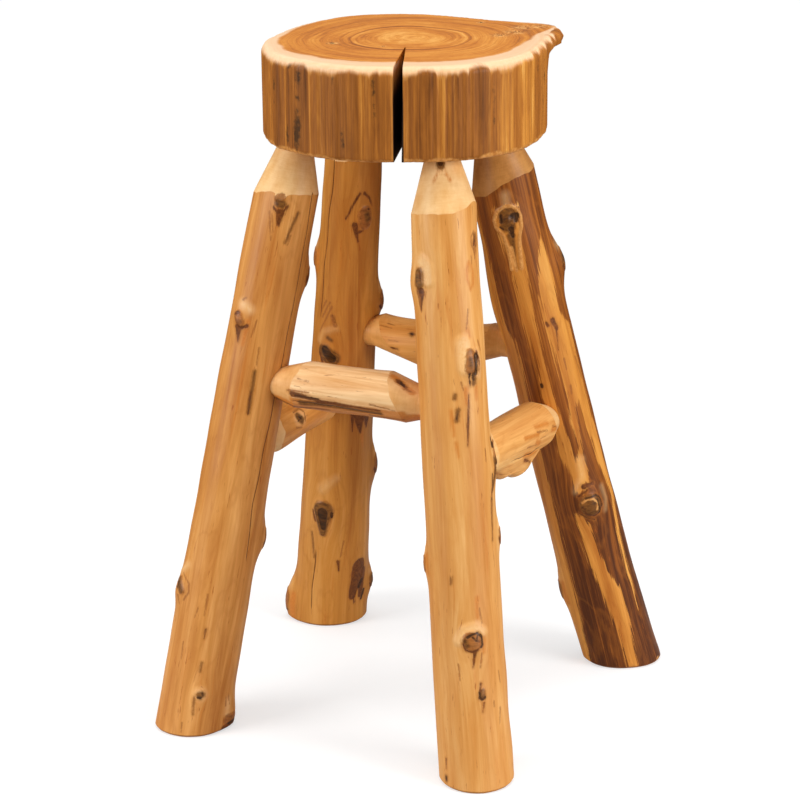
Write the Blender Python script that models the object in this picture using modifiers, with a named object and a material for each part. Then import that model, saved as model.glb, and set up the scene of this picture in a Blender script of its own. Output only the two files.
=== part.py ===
"""Log counter stool: a thick slab of a log on four peeled log legs, tied by four log rungs.

The stool stands on the floor at z = 0, with its origin in the middle of its feet, its front
towards -Y and +Z up. Every leg has a coned shoulder and a round tenon that goes up into a blind
mortise in the slab. Every rung has the same at both ends, in mortises in the legs. A wood screw
crosses each tenon, driven where it can't be seen from the front. Lengths are in metres.
"""

from collections import namedtuple
from math import atan2, cos, degrees, exp, hypot, pi, radians, sin, sqrt, tan, tau

import bmesh
import bpy
from mathutils import Matrix, Vector

# The middle of the stool's outline, from the middle of the legs' even spacing
MIDDLE_X = 0.0022
MIDDLE_Y = 0.0006

# Seat slab
SEAT_HEIGHT = 0.762
SEAT_THICKNESS = 0.102
SEAT_RADIUS = 0.1555
SEAT_CENTRE_X = 0.006
SEAT_CENTRE_Y = 0.001
SEAT_TOP_ROUNDING = 0.009
SEAT_BOTTOM_ROUNDING = 0.005
# The outline runs round the slab as (turn in degrees, share of the seat's radius).
SEAT_OUTLINE_SHARES = (
    (-172, 0.962), (-155, 1.000), (-140, 1.010), (-126, 1.030), (-112, 1.020), (-98, 1.020),
    (-83, 1.012), (-67, 0.985), (-53, 1.009), (-41, 1.028), (-31, 1.033), (-21, 1.038),
    (-8, 1.015), (10, 0.990), (28, 1.000), (48, 1.010), (62, 0.985), (76, 0.955), (91, 0.955),
    (105, 0.985), (120, 1.010), (139, 1.030), (153, 0.994), (169, 0.966),
)

# Burr on the upper edge of the slab
BURR_REACH = 0.029
BURR_THICKNESS = 0.019
BURR_TURN_DEGREES = 47
BURR_SPREAD_DEGREES = 15
BURR_ROOT_SHARE = 0.35
BURR_CREST_SHARE = 0.93

# Drying kerf, sawn from the front of the slab nearly to its pith
KERF_MOUTH = 0.0108
KERF_TIP_WIDTH = 0.0015
KERF_MOUTH_TURN_DEGREES = -68.2
KERF_TIP_TURN_DEGREES = -65
KERF_TIP_SHARE = 0.30
KERF_LOWER_SHARE = 0.50

# Legs: half the spacing of their axes on the floor, and how far inside the slab's plain side
# their axes reach its underside
FOOT_SPREAD = 0.186
HEAD_INSET = 0.074
HEAD_SPREAD = SEAT_RADIUS - HEAD_INSET
LEG_FOOT_RADIUS = 0.042
LEG_HEAD_RADIUS = 0.0345
FOOT_CHAMFER = 0.003
LEG_BOW = 0.003

# Rungs: those of the two sides pass under those of the front and the back, this far clear of them
UPPER_RUNG_HEIGHT = 0.398
RUNG_RADIUS = 0.0262
RUNG_GAP = 0.0236
LOWER_RUNG_HEIGHT = UPPER_RUNG_HEIGHT - 2 * RUNG_RADIUS - RUNG_GAP
RUNG_DROP = 0.009

# Joints
LEG_TENON_RADIUS = 0.0185
LEG_TENON_LENGTH = 0.062
RUNG_TENON_RADIUS = 0.0175
RUNG_TENON_PAST_AXIS = 0.006
CONE_DEGREES = 17
CONE_SEAT_IN = 0.003
TENON_CHAMFER = 0.002
CLEARANCE = 0.0003
OVERRUN = 0.015

# Wood screws
SCREW_RADIUS = 0.0025
SCREW_HEAD_RADIUS = 0.0050
SCREW_HEAD_DEPTH = 0.0030
SCREW_TIP = 0.006
SCREW_TIP_SHARE = 0.2
SCREW_DRIVE_HALF_WIDTH = 0.0018
SCREW_DRIVE_DEPTH = 0.0020
RUNG_SCREW_LENGTH = 0.060
RUNG_SCREW_SINK = 0.0025
RUNG_SCREW_OFFSET = 0.012
SEAT_SCREW_LENGTH = 0.070
SEAT_SCREW_SINK = 0.0080
SEAT_SCREW_INSET = 0.045
SEAT_SCREW_DEGREES = 45

# How finely the round forms are cut
SLAB_SIDES = 60
LOG_SIDES = 24
SCREW_SIDES = 8
PLAIN_STATIONS = 8
KNOT_STATION_SHARES = (-1.0, 0, 1.0)
STATION_SHARE = 0.014
SHARP_DEGREES = 35
WELD = 0.00001

# A log's surface: how oval it is and how it waves, as shares of its radius
OVAL_SHARE = 0.020
WAVE_SHARE = 0.012
KNOT_LENGTH_RATIO = 1.5

# The shares of a rail stand for the heights of its two ends, its radii there, how far its log
# lies under its tenons, and how far its cones go into the legs.
# A knot or a swelling: along the log as a share of its length, round it in degrees from the
# log's own X, its half width and its rise as shares of the log's radius.
Knot = namedtuple("Knot", "along_share turn_degrees width_share rise_share")
Post = namedtuple(
    "Post", "name foot_shares head_shares radius_shares bow_shares oval_degrees knot_shares"
)
Rail = namedtuple(
    "Rail",
    "name start end height height_shares radius_shares drop_shares seat_shares screw_side"
    " knot_shares",
)

POSTS = (
    Post(
        "front_left", (-0.962, -1.007), (-1.034, -1.034), (0.970, 0.980), (-0.7, -0.3), 40,
        (
            Knot(0.904, -74, 0.24, 0.060), Knot(0.784, 27, 0.38, 0.150),
            Knot(0.705, -115, 0.26, 0.070), Knot(0.338, 27, 0.34, 0.170),
            Knot(0.231, -140, 0.30, 0.120), Knot(0.063, -61, 0.20, 0.040),
            Knot(0.030, 20, 0.34, 0.120),
        ),
    ),
    Post(
        "front_right", (0.932, -1.037), (1.049, -0.991), (0.985, 1.020), (-0.6, -0.3), 100,
        (
            Knot(0.800, -145, 0.36, 0.100), Knot(0.667, -30, 0.28, 0.080),
            Knot(0.500, 24, 0.36, 0.120), Knot(0.390, 24, 0.30, 0.080),
            Knot(0.352, -155, 0.30, 0.100), Knot(0.228, -58, 0.26, 0.060),
            Knot(0.142, -52, 0.18, 0.030),
        ),
    ),
    Post(
        "back_right", (1.040, 1.042), (0.923, 0.941), (1.038, 1.052), (-1.7, -0.8), 10,
        (
            Knot(0.849, -71, 0.34, 0.060), Knot(0.740, 28, 0.46, 0.240),
            Knot(0.700, -152, 0.80, 0.100), Knot(0.319, -53, 0.34, 0.100),
            Knot(0.150, -152, 0.34, 0.110),
        ),
    ),
    Post(
        "back_left", (-0.992, 0.962), (-1.112, 0.926), (1.060, 0.907), (0.0, 0.0), 70,
        (
            Knot(0.821, -35, 0.30, 0.050), Knot(0.727, -153, 0.38, 0.140),
            Knot(0.645, 25, 0.40, 0.200), Knot(0.562, -94, 0.28, 0.060),
            Knot(0.318, 25, 0.40, 0.180), Knot(0.241, -83, 0.34, 0.080),
            Knot(0.075, 22, 0.30, 0.120), Knot(0.029, -155, 0.50, 0.260),
        ),
    ),
)

RAILS = (
    Rail(
        "front", "front_left", "front_right", UPPER_RUNG_HEIGHT,
        (0.996, 0.991), (0.98, 0.98), (-0.13, -0.54), (1.0, 1.0), 1,
        (Knot(0.25, 110, 0.50, 0.050), Knot(0.72, -20, 0.50, 0.040)),
    ),
    Rail(
        "back", "back_left", "back_right", UPPER_RUNG_HEIGHT,
        (0.977, 0.999), (0.96, 0.92), (1.0, 1.0), (-1.0, -2.7), 1,
        (Knot(0.44, 180, 0.80, 0.150),),
    ),
    Rail(
        "right", "front_right", "back_right", LOWER_RUNG_HEIGHT,
        (1.033, 0.972), (0.92, 1.07), (-0.1, -0.2), (1.0, 1.0), -1,
        (
            Knot(0.390, 180, 0.56, 0.520), Knot(0.490, 180, 0.56, 0.350),
            Knot(0.580, 180, 0.56, 0.760), Knot(0.660, 80, 0.50, 0.060),
        ),
    ),
    Rail(
        "left", "front_left", "back_left", LOWER_RUNG_HEIGHT,
        (1.000, 0.975), (1.00, 1.00), (0.1, 0.1), (1.0, 1.0), -1,
        (Knot(0.55, -60, 0.50, 0.060),),
    ),
)

# Colours as linear red, green and blue, with roughness and metallic value
SAPWOOD = ("sapwood", (0.70, 0.37, 0.13), 0.38, 0.0)
HEARTWOOD = ("heartwood", (0.42, 0.16, 0.05), 0.38, 0.0)
SLABWOOD = ("slabwood", (0.55, 0.25, 0.08), 0.35, 0.0)
STEEL = ("steel", (0.55, 0.52, 0.45), 0.35, 1.0)


def clear_scene():
    """Remove whatever the scene holds, and make the collections of the parts and the cutters."""
    for obj in list(bpy.data.objects):
        bpy.data.objects.remove(obj, do_unlink=True)
    made = []
    for name in ("log_counter_stool", "cutters"):
        group = bpy.data.collections.new(name)
        bpy.context.scene.collection.children.link(group)
        made.append(group)
    return made


def material(name, colour, roughness, metallic):
    """Return the Principled material of this name, made when it is first asked for."""
    found = bpy.data.materials.get(name)
    if found:
        return found
    made = bpy.data.materials.new(name)
    made.use_nodes = True
    shader = made.node_tree.nodes["Principled BSDF"]
    shader.inputs["Base Color"].default_value = (*colour, 1)
    shader.inputs["Roughness"].default_value = roughness
    shader.inputs["Metallic"].default_value = metallic
    return made


def mix(low, high, share):
    """Return the value that lies this share of the way from low to high."""
    return low + (high - low) * share


def plan_place(x, y, height):
    """Return a place measured from the middle of the legs' spacing, in the stool's own frame."""
    return Vector((x - MIDDLE_X, y - MIDDLE_Y, height))


def turned(name, ring_count, sides, place):
    """Turn a unit profile of rings about +Z, closed at both ends, and move its points.

    The unit shape has its rings at heights 0, 1, 2 ... and radius 1. place(ring, turn, radius)
    gives the place of a point, where radius is 1 on a ring and 0 at the two ends.
    """
    top = ring_count - 1
    profile = [(0, 0, top)] + [(1, 0, ring) for ring in range(top, -1, -1)] + [(0, 0, 0)]
    line = bpy.data.meshes.new(name)
    line.from_pydata(profile, [(i, i + 1) for i in range(len(profile) - 1)], [])
    guide = bpy.data.objects.new(name, line)
    bpy.context.scene.collection.objects.link(guide)
    screw = guide.modifiers.new("Turn", "SCREW")
    screw.steps = screw.render_steps = sides
    screw.use_merge_vertices = True
    screw.merge_threshold = WELD
    graph = bpy.context.evaluated_depsgraph_get()
    mesh = bpy.data.meshes.new_from_object(guide.evaluated_get(graph))
    bpy.data.objects.remove(guide)
    bpy.data.meshes.remove(line)
    mesh.name = name
    for vertex in mesh.vertices:
        x, y, ring = vertex.co
        vertex.co = place(round(ring), atan2(y, x), round(hypot(x, y)))
    return mesh


def placed(mesh, group, frame, look=None):
    """Put a mesh in the scene as an object of the same name, at this frame."""
    obj = bpy.data.objects.new(mesh.name, mesh)
    group.objects.link(obj)
    obj.matrix_world = frame
    if look:
        mesh.materials.append(material(*look))
        mesh.shade_smooth()
        mesh.set_sharp_from_angle(angle=radians(SHARP_DEGREES))
    else:
        obj.hide_render = True
        obj.display_type = "WIRE"
    return obj


def cut(obj, cutter):
    """Cut one object out of another."""
    boolean = obj.modifiers.new(cutter.name, "BOOLEAN")
    boolean.operation = "DIFFERENCE"
    boolean.object = cutter


def frame_along(start, direction, level):
    """Return the frame at start whose Z runs along direction and whose X is nearest to level."""
    z = direction.normalized()
    x = (level - z * level.dot(z)).normalized()
    y = z.cross(x)
    turn = Matrix((x, y, z)).transposed()
    return Matrix.Translation(start) @ turn.to_4x4()


def cone_radius(along, root, tenon_radius, way):
    """Return the radius of the cone that widens from its root, away from the tenon's end."""
    return tenon_radius + way * (root - along) * tan(radians(CONE_DEGREES))


class Log:
    """A peeled log along its own Z, from a foot or a tenon at its start to a tenon at its end."""

    def __init__(self, start, end, level, radii, oval_degrees, bows, knots):
        self.frame = frame_along(start, end - start, level)
        self.length = (end - start).length
        self.roots = (0, self.length)
        self.radii = radii
        self.oval = radians(oval_degrees)
        self.bows = bows
        self.knots = knots

    def centre(self, along):
        """Return the middle of the log at this length along it, straight past its roots."""
        first, last = self.roots
        share = min(max((along - first) / (last - first), 0), 1)
        lift = 1 - (2 * share - 1) ** 4
        x, y = (mix(low, high, share) * lift for low, high in zip(*self.bows))
        return Vector((x, y, along))

    def plain_radius(self, along):
        """Return the radius without waves and knots."""
        return mix(*self.radii, along / self.length)

    def radius(self, turn, along):
        """Return the radius on this side of the log, at this length along it."""
        share = along / self.length
        plain = self.plain_radius(along)
        oval = OVAL_SHARE * cos(2 * (turn - self.oval))
        wave = WAVE_SHARE * sin(3 * turn + tau * (share + self.oval))
        radius = plain * (1 + oval + wave)
        for knot in self.knots:
            width = knot.width_share * plain
            off_turn = (turn - radians(knot.turn_degrees) + pi) % tau - pi
            across = plain * off_turn / width
            up = (along - knot.along_share * self.length) / (width * KNOT_LENGTH_RATIO)
            radius += knot.rise_share * plain * exp(-across * across - up * up)
        return radius

    def reach(self, turn, along):
        """Return how far the surface is from the log's straight axis on this side."""
        x, y, _ = self.centre(along)
        toward = x * cos(turn) + y * sin(turn)
        return toward + sqrt(self.radius(turn, along) ** 2 - (x * x + y * y - toward * toward))

    def stations(self):
        """Return the shares of the log's length at which its surface has a ring."""
        shares = [i / PLAIN_STATIONS for i in range(PLAIN_STATIONS + 1)]
        for knot in self.knots:
            reach = knot.width_share * self.plain_radius(0) * KNOT_LENGTH_RATIO / self.length
            shares += [knot.along_share + step * reach for step in KNOT_STATION_SHARES]
        kept = [0]
        for share in sorted(shares):
            if kept[-1] + STATION_SHARE < share < 1 - STATION_SHARE:
                kept.append(share)
        return kept + [1]

    def shoulder(self, turn, root, tenon_radius, way):
        """Return where the cone that runs back from root comes out at the surface on this side."""
        inside, outside = root, root - way * self.length / 2
        while abs(outside - inside) > WELD:
            middle = (inside + outside) / 2
            if cone_radius(middle, root, tenon_radius, way) < self.reach(turn, middle):
                inside = middle
            else:
                outside = middle
        return inside


def tenon_outline(tip, root, radius, way):
    """Return the (along, radius) points of a tenon from its end to the root of its cone."""
    return [
        (tip, radius - TENON_CHAMFER),
        (tip - way * TENON_CHAMFER, radius),
        (root, radius),
    ]


def log_mesh(name, log, tenon_radius, tip, start_tip=None):
    """Model a log with a tenon at its end and, if start_tip is given, one at its start."""
    shares = log.stations()
    low_root, high_root = log.roots

    def skin(turn, along):
        radius = min(log.reach(turn, along), cone_radius(along, high_root, tenon_radius, 1))
        if start_tip is not None:
            radius = min(radius, cone_radius(along, low_root, tenon_radius, -1))
        return along, radius

    def outline(turn):
        last = log.shoulder(turn, high_root, tenon_radius, 1)
        if start_tip is None:
            first, head = -OVERRUN, []
        else:
            first = log.shoulder(turn, low_root, tenon_radius, -1)
            head = tenon_outline(start_tip, low_root, tenon_radius, -1)
        body = [skin(turn, mix(first, last, share)) for share in shares]
        return head + body + tenon_outline(tip, high_root, tenon_radius, 1)[::-1]

    known = {}

    def place(ring, turn, unit):
        side = round(turn * LOG_SIDES / tau) % LOG_SIDES
        if side not in known:
            known[side] = outline(side * tau / LOG_SIDES)
        along, radius = known[side][ring]
        return Vector((cos(turn) * radius * unit, sin(turn) * radius * unit, along))

    return turned(name, len(outline(0)), LOG_SIDES, place)


def cut_foot(mesh, frame):
    """Saw the foot off level with the floor, and chamfer its edge."""
    down = frame.inverted().to_3x3() @ Vector((0, 0, -1))
    floor = frame.inverted() @ Vector((frame.translation.x, frame.translation.y, 0))
    form = bmesh.new()
    form.from_mesh(mesh)
    for lift in (FOOT_CHAMFER, 0):
        found = bmesh.ops.bisect_plane(
            form,
            geom=form.verts[:] + form.edges[:] + form.faces[:],
            plane_co=floor - down * lift,
            plane_no=down,
            clear_outer=lift == 0,
        )
    rim = [item for item in found["geom_cut"] if isinstance(item, bmesh.types.BMVert)]
    edges = [item for item in found["geom_cut"] if isinstance(item, bmesh.types.BMEdge)]
    middle = sum((vertex.co for vertex in rim), Vector()) / len(rim)
    for vertex in rim:
        away = vertex.co - middle
        vertex.co = middle + away * (1 - FOOT_CHAMFER / away.length)
    bmesh.ops.holes_fill(form, edges=edges)
    bmesh.ops.recalc_face_normals(form, faces=form.faces)
    form.to_mesh(mesh)
    form.free()


def bore_mesh(name, points, sides):
    """Turn the closed (along, radius) points into a cutter for a mortise or a screw hole."""

    def place(ring, turn, unit):
        along, radius = points[ring]
        return Vector((cos(turn) * radius * unit, sin(turn) * radius * unit, along))

    return turned(name, len(points), sides, place)


def screw_outline(length):
    """Return the (along, radius) points of a screw, from its tip up to its head at zero."""
    return [
        (-length, SCREW_TIP_SHARE * SCREW_RADIUS),
        (SCREW_TIP - length, SCREW_RADIUS),
        (-SCREW_HEAD_DEPTH, SCREW_RADIUS),
        (0, SCREW_HEAD_RADIUS),
    ]


def screw_mesh(name, length):
    """Model a countersunk wood screw with a square drive in its head."""
    outer = screw_outline(length)
    rings = outer + [(0, SCREW_DRIVE_HALF_WIDTH), (-SCREW_DRIVE_DEPTH, SCREW_DRIVE_HALF_WIDTH)]

    def place(ring, turn, unit):
        along, radius = rings[ring]
        if ring >= len(outer):
            radius /= max(abs(cos(turn)), abs(sin(turn)))
        return Vector((cos(turn) * radius * unit, sin(turn) * radius * unit, along))

    return turned(name, len(rings), SCREW_SIDES, place)


def drive_screw(name, length, head, way, level, group, cutters, through):
    """Drive a screw with its head at head, in this way, and bore the pieces that it goes through."""
    frame = frame_along(head, -way, level)
    placed(screw_mesh(name, length), group, frame, STEEL)
    points = [(along, radius + CLEARANCE) for along, radius in screw_outline(length)]
    points[0] = (-length - CLEARANCE, points[0][1])
    wide = SCREW_HEAD_RADIUS + CLEARANCE
    hole = bore_mesh(name + "_bore", points + [(OVERRUN, wide)], SCREW_SIDES)
    cutter = placed(hole, cutters, frame)
    for obj in through:
        cut(obj, cutter)


def outline_share(turn):
    """Return the slab's outline at this turn, as a share of its radius, on a smooth curve."""
    table = SEAT_OUTLINE_SHARES
    angle = degrees(turn)
    for i, (low, share) in enumerate(table):
        high, next_share = table[(i + 1) % len(table)]
        span = (high - low) % 360
        if (angle - low) % 360 < span:
            before = table[i - 1]
            after = table[(i + 2) % len(table)]
            step = ((angle - low) % 360) / span
            enter = (next_share - before[1]) * span / ((high - before[0]) % 360)
            leave = (after[1] - share) * span / ((after[0] - low) % 360)
            square, cube = step * step, step * step * step
            return (
                (2 * cube - 3 * square + 1) * share
                + (cube - 2 * square + step) * enter
                + (3 * square - 2 * cube) * next_share
                + (cube - square) * leave
            )
    return 1


def slab_rings():
    """Return (height, inset, burr share) for each ring of the slab, from the bottom up."""
    low, high = SEAT_BOTTOM_ROUNDING, SEAT_TOP_ROUNDING
    rings = [(low - low * sin(pi / 4 * k), low - low * cos(pi / 4 * k), 0) for k in (2, 1, 0)]
    under = SEAT_THICKNESS - BURR_THICKNESS
    rings += [
        (SEAT_THICKNESS / 2, 0, 0),
        (under - BURR_THICKNESS, 0, 0),
        (under, 0, BURR_ROOT_SHARE),
        (under + (BURR_THICKNESS - high) / 2, 0, BURR_CREST_SHARE),
    ]
    for k in (0, 1, 2):
        angle = pi / 4 * k
        rings.append((SEAT_THICKNESS - high + high * sin(angle), high - high * cos(angle), 1))
    return rings


def seat_slab(group):
    """Model the slab with its rounded edges and its burr, on its place under the seat height."""
    rings = slab_rings()

    def place(ring, turn, unit):
        height, inset, burr_share = rings[ring]
        off = degrees((turn - radians(BURR_TURN_DEGREES) + pi) % tau - pi)
        burr = BURR_REACH * burr_share * exp(-((off / BURR_SPREAD_DEGREES) ** 2))
        radius = SEAT_RADIUS * outline_share(turn) + burr - inset
        return Vector((cos(turn) * radius * unit, sin(turn) * radius * unit, height))

    mesh = turned("seat_slab", len(rings), SLAB_SIDES, place)
    under = SEAT_HEIGHT - SEAT_THICKNESS
    frame = Matrix.Translation(plan_place(SEAT_CENTRE_X, SEAT_CENTRE_Y, under))
    return placed(mesh, group, frame, SLABWOOD)


def saw_kerf(slab, cutters):
    """Saw the V-shaped kerf through the slab, from its front nearly to its pith."""
    reach = SEAT_RADIUS + BURR_REACH
    mouth_turn = radians(KERF_MOUTH_TURN_DEGREES)
    tip_turn = radians(KERF_TIP_TURN_DEGREES)
    tip = Vector((cos(tip_turn), sin(tip_turn), 0)) * SEAT_RADIUS * KERF_TIP_SHARE
    rim = Vector((cos(mouth_turn), sin(mouth_turn), 0)) * SEAT_RADIUS
    way = (rim - tip).normalized()
    side = Vector((-way.y, way.x, 0))
    flare = (KERF_MOUTH - KERF_TIP_WIDTH) / (rim - tip).length
    far = reach - (rim - tip).dot(way) + (rim - tip).length
    form = bmesh.new()
    bmesh.ops.create_cube(form, size=1)
    for vertex in form.verts:
        x, y, z = vertex.co
        out = far if x > 0 else 0
        half = (KERF_TIP_WIDTH + flare * out) / 2
        right = half * (KERF_LOWER_SHARE if z < 0 else 1)
        flat = tip + way * out + side * (right if y > 0 else -half)
        vertex.co = (flat.x, flat.y, SEAT_THICKNESS / 2 + 2 * z * (SEAT_THICKNESS / 2 + OVERRUN))
    mesh = bpy.data.meshes.new("kerf_saw")
    form.to_mesh(mesh)
    form.free()
    cut(slab, placed(mesh, cutters, slab.matrix_world.copy()))


def coned_mortise_points(tip, root, way):
    """Return a cutter's (along, radius) points: a rung's tenon and cone, grown by the clearance."""
    radius = RUNG_TENON_RADIUS + CLEARANCE
    rise = RUNG_RADIUS - RUNG_TENON_RADIUS
    far = root - way * rise / tan(radians(CONE_DEGREES))
    points = [(tip + way * CLEARANCE, radius), (root, radius), (far, radius + rise)]
    return sorted(points)


def make_leg(post, slab, group, cutters):
    """Model a leg, and bore its mortise in the slab."""
    under = SEAT_HEIGHT - SEAT_THICKNESS
    foot = plan_place(*[FOOT_SPREAD * share for share in post.foot_shares], 0)
    head = plan_place(*[HEAD_SPREAD * share for share in post.head_shares], under)
    radii = (LEG_FOOT_RADIUS * post.radius_shares[0], LEG_HEAD_RADIUS * post.radius_shares[1])
    bow = [LEG_BOW * share for share in post.bow_shares]
    level = Vector((1, 0, 0))
    log = Log(foot, head, level, radii, post.oval_degrees, (bow, bow), post.knot_shares)
    lean = (head - foot).normalized().angle(Vector((0, 0, 1)))
    root = log.length - LEG_TENON_RADIUS * tan(lean) - CLEARANCE
    log.roots = (0, root)
    tip = log.length + LEG_TENON_LENGTH
    mesh = log_mesh("leg_" + post.name, log, LEG_TENON_RADIUS, tip)
    cut_foot(mesh, log.frame)
    look = HEARTWOOD if post.name == "back_right" else SAPWOOD
    leg = placed(mesh, group, log.frame, look)
    points = [
        (root - OVERRUN, LEG_TENON_RADIUS + CLEARANCE),
        (tip + CLEARANCE, LEG_TENON_RADIUS + CLEARANCE),
    ]
    mortise = bore_mesh("mortise_" + post.name, points, LOG_SIDES)
    cut(slab, placed(mortise, cutters, log.frame))

    outward = (head - plan_place(SEAT_CENTRE_X, SEAT_CENTRE_Y, under)).normalized()
    rise = radians(SEAT_SCREW_DEGREES)
    way = outward * cos(rise) + Vector((0, 0, sin(rise)))
    start = head - outward * SEAT_SCREW_INSET + way * SEAT_SCREW_SINK
    drive_screw(
        "seat_screw_" + post.name, SEAT_SCREW_LENGTH, start, way, outward.cross(way),
        group, cutters, (slab, leg),
    )
    return leg, log


def axis_point(log, height):
    """Return the place on a leg's middle line at this height above the floor."""
    foot = log.frame @ log.centre(0)
    head = log.frame @ log.centre(log.length)
    along = log.length * (height - foot.z) / (head.z - foot.z)
    return log.frame @ log.centre(along), along


def make_rung(rail, legs, group, cutters):
    """Model a rung, bore its mortises in the two legs and screw its tenons."""
    ends = []
    for name, share in zip((rail.start, rail.end), rail.height_shares):
        leg, log = legs[name]
        place, along = axis_point(log, rail.height * share)
        ends.append((leg, log, place, along, log.plain_radius(along)))
    start, end = ends[0][2], ends[1][2]
    radii = [RUNG_RADIUS * share for share in rail.radius_shares]
    bows = [(-RUNG_DROP * share, 0) for share in rail.drop_shares]
    rung = Log(start, end, Vector((0, 0, 1)), radii, 0, bows, rail.knot_shares)
    seats = [end[4] - CONE_SEAT_IN * share for end, share in zip(ends, rail.seat_shares)]
    rung.roots = (seats[0], rung.length - seats[1])
    tips = (-RUNG_TENON_PAST_AXIS, rung.length + RUNG_TENON_PAST_AXIS)
    mesh = log_mesh("rung_" + rail.name, rung, RUNG_TENON_RADIUS, tips[1], tips[0])
    obj = placed(mesh, group, rung.frame, SAPWOOD)
    for i, way in ((0, -1), (1, 1)):
        leg, log, place, along, leg_radius = ends[i]
        joint = rail.name + "_" + (rail.end if i else rail.start)
        points = coned_mortise_points(tips[i], rung.roots[i], way)
        mortise = bore_mesh("mortise_" + joint, points, LOG_SIDES)
        cut(leg, placed(mortise, cutters, rung.frame))

        leg_way = log.frame.to_3x3() @ Vector((0, 0, 1))
        rung_way = rung.frame.to_3x3() @ Vector((0, 0, -way))
        out = leg_way.cross(rung_way).normalized()
        hidden = Vector((0, 1, 0)) if rail.screw_side > 0 else Vector((-1, 0, 0))
        out = out if out.dot(hidden) > 0 else -out
        drop = leg_radius - sqrt(leg_radius**2 - RUNG_SCREW_OFFSET**2)
        head = place + rung_way * RUNG_SCREW_OFFSET + out * (leg_radius - drop - RUNG_SCREW_SINK)
        drive_screw(
            "rung_screw_" + joint, RUNG_SCREW_LENGTH, head, -out, rung_way,
            group, cutters, (leg, obj),
        )
    return obj


def main():
    """Build the stool."""
    group, cutters = clear_scene()
    slab = seat_slab(group)
    saw_kerf(slab, cutters)
    legs = {post.name: make_leg(post, slab, group, cutters) for post in POSTS}
    for rail in RAILS:
        make_rung(rail, legs, group, cutters)


main()
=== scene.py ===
"""Looks of the log counter stool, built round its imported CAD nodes.

A thick slab of a log stands on four hand-peeled log legs, tied by four log rungs. Each wooden
node is modelled again on its own place, with its knots, drying cracks and knife marks, and the
wood screws keep their CAD meshes under a procedural finish. Lengths are in metres, and turns
round a log are in degrees from its own X.
"""

from __future__ import annotations

import logging
from collections.abc import Callable
from dataclasses import dataclass, field, replace
from enum import Enum
from math import cos, pi, radians, sin, sqrt, tan, tau

import bpy
import numpy as np
from mathutils import Matrix, Vector

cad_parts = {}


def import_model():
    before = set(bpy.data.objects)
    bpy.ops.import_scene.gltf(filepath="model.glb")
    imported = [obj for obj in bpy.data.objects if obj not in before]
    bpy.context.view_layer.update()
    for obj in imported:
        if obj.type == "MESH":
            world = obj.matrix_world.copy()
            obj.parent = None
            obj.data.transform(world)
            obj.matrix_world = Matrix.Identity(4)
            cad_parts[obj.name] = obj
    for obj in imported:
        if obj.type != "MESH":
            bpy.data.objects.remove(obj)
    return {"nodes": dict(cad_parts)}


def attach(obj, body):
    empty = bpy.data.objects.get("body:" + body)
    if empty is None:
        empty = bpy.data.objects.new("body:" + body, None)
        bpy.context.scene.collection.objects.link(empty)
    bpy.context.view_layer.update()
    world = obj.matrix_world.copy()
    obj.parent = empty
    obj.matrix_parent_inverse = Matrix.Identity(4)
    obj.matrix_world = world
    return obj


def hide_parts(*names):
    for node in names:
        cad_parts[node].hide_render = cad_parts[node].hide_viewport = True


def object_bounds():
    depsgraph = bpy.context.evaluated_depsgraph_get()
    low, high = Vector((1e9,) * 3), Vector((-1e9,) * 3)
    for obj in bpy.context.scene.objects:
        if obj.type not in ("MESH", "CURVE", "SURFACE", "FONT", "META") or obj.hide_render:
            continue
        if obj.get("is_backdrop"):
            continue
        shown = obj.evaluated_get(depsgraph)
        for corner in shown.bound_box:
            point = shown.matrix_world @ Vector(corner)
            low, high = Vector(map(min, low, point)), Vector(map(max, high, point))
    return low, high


LOG = logging.getLogger("log_counter_stool")

Array = np.ndarray
Pair = tuple[float, float]
Place = tuple[float, float, float]
Table = tuple[tuple[float, ...], ...]
Colour = tuple[float, float, float, float]
Socket = bpy.types.NodeSocket
Thing = bpy.types.Object

MM = 0.001

# The middle of the stool's outline, from the middle of the legs' even spacing
MIDDLE = np.array((0.0022, 0.0006, 0.0))

# Seat slab, as its CAD node
SEAT_HEIGHT = 0.762
SEAT_THICKNESS = 0.102
SEAT_UNDERSIDE = SEAT_HEIGHT - SEAT_THICKNESS
SEAT_RADIUS = 0.1555
SEAT_CENTRE = np.array((0.006, 0.001, SEAT_UNDERSIDE)) - MIDDLE

# Legs and rungs, as their CAD nodes
FOOT_SPREAD = 0.186
HEAD_SPREAD = 0.0815
LEG_FOOT_RADIUS = 0.042
LEG_HEAD_RADIUS = 0.0345
FOOT_CHAMFER = 0.003
LEG_BOW = 0.003
OVAL = 0.020
THIRD_WAVE = 0.012
UPPER_RUNG_HEIGHT = 0.398
LOWER_RUNG_HEIGHT = 0.322
RUNG_RADIUS = 0.0262
RUNG_DROP = 0.009

# Joints and screws, as in the CAD
LEG_TENON_RADIUS = 0.0185
LEG_TENON_LENGTH = 0.062
RUNG_TENON_RADIUS = 0.0175
RUNG_TENON_PAST_AXIS = 0.006
CONE_SLOPE = tan(radians(17))
CONE_SEAT_IN = 0.003
TENON_CHAMFER = 0.002
CLEARANCE = 0.0003
OVERRUN = 0.015
SCREW_RADIUS = 0.0025
SCREW_HEAD_RADIUS = 0.0050
SCREW_HEAD_DEPTH = 0.0030
RUNG_SCREW_LENGTH = 0.060
RUNG_SCREW_SINK = 0.0025
RUNG_SCREW_OFFSET = 0.012
SEAT_SCREW_LENGTH = 0.070
SEAT_SCREW_SINK = 0.0080
SEAT_SCREW_INSET = 0.045

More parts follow.
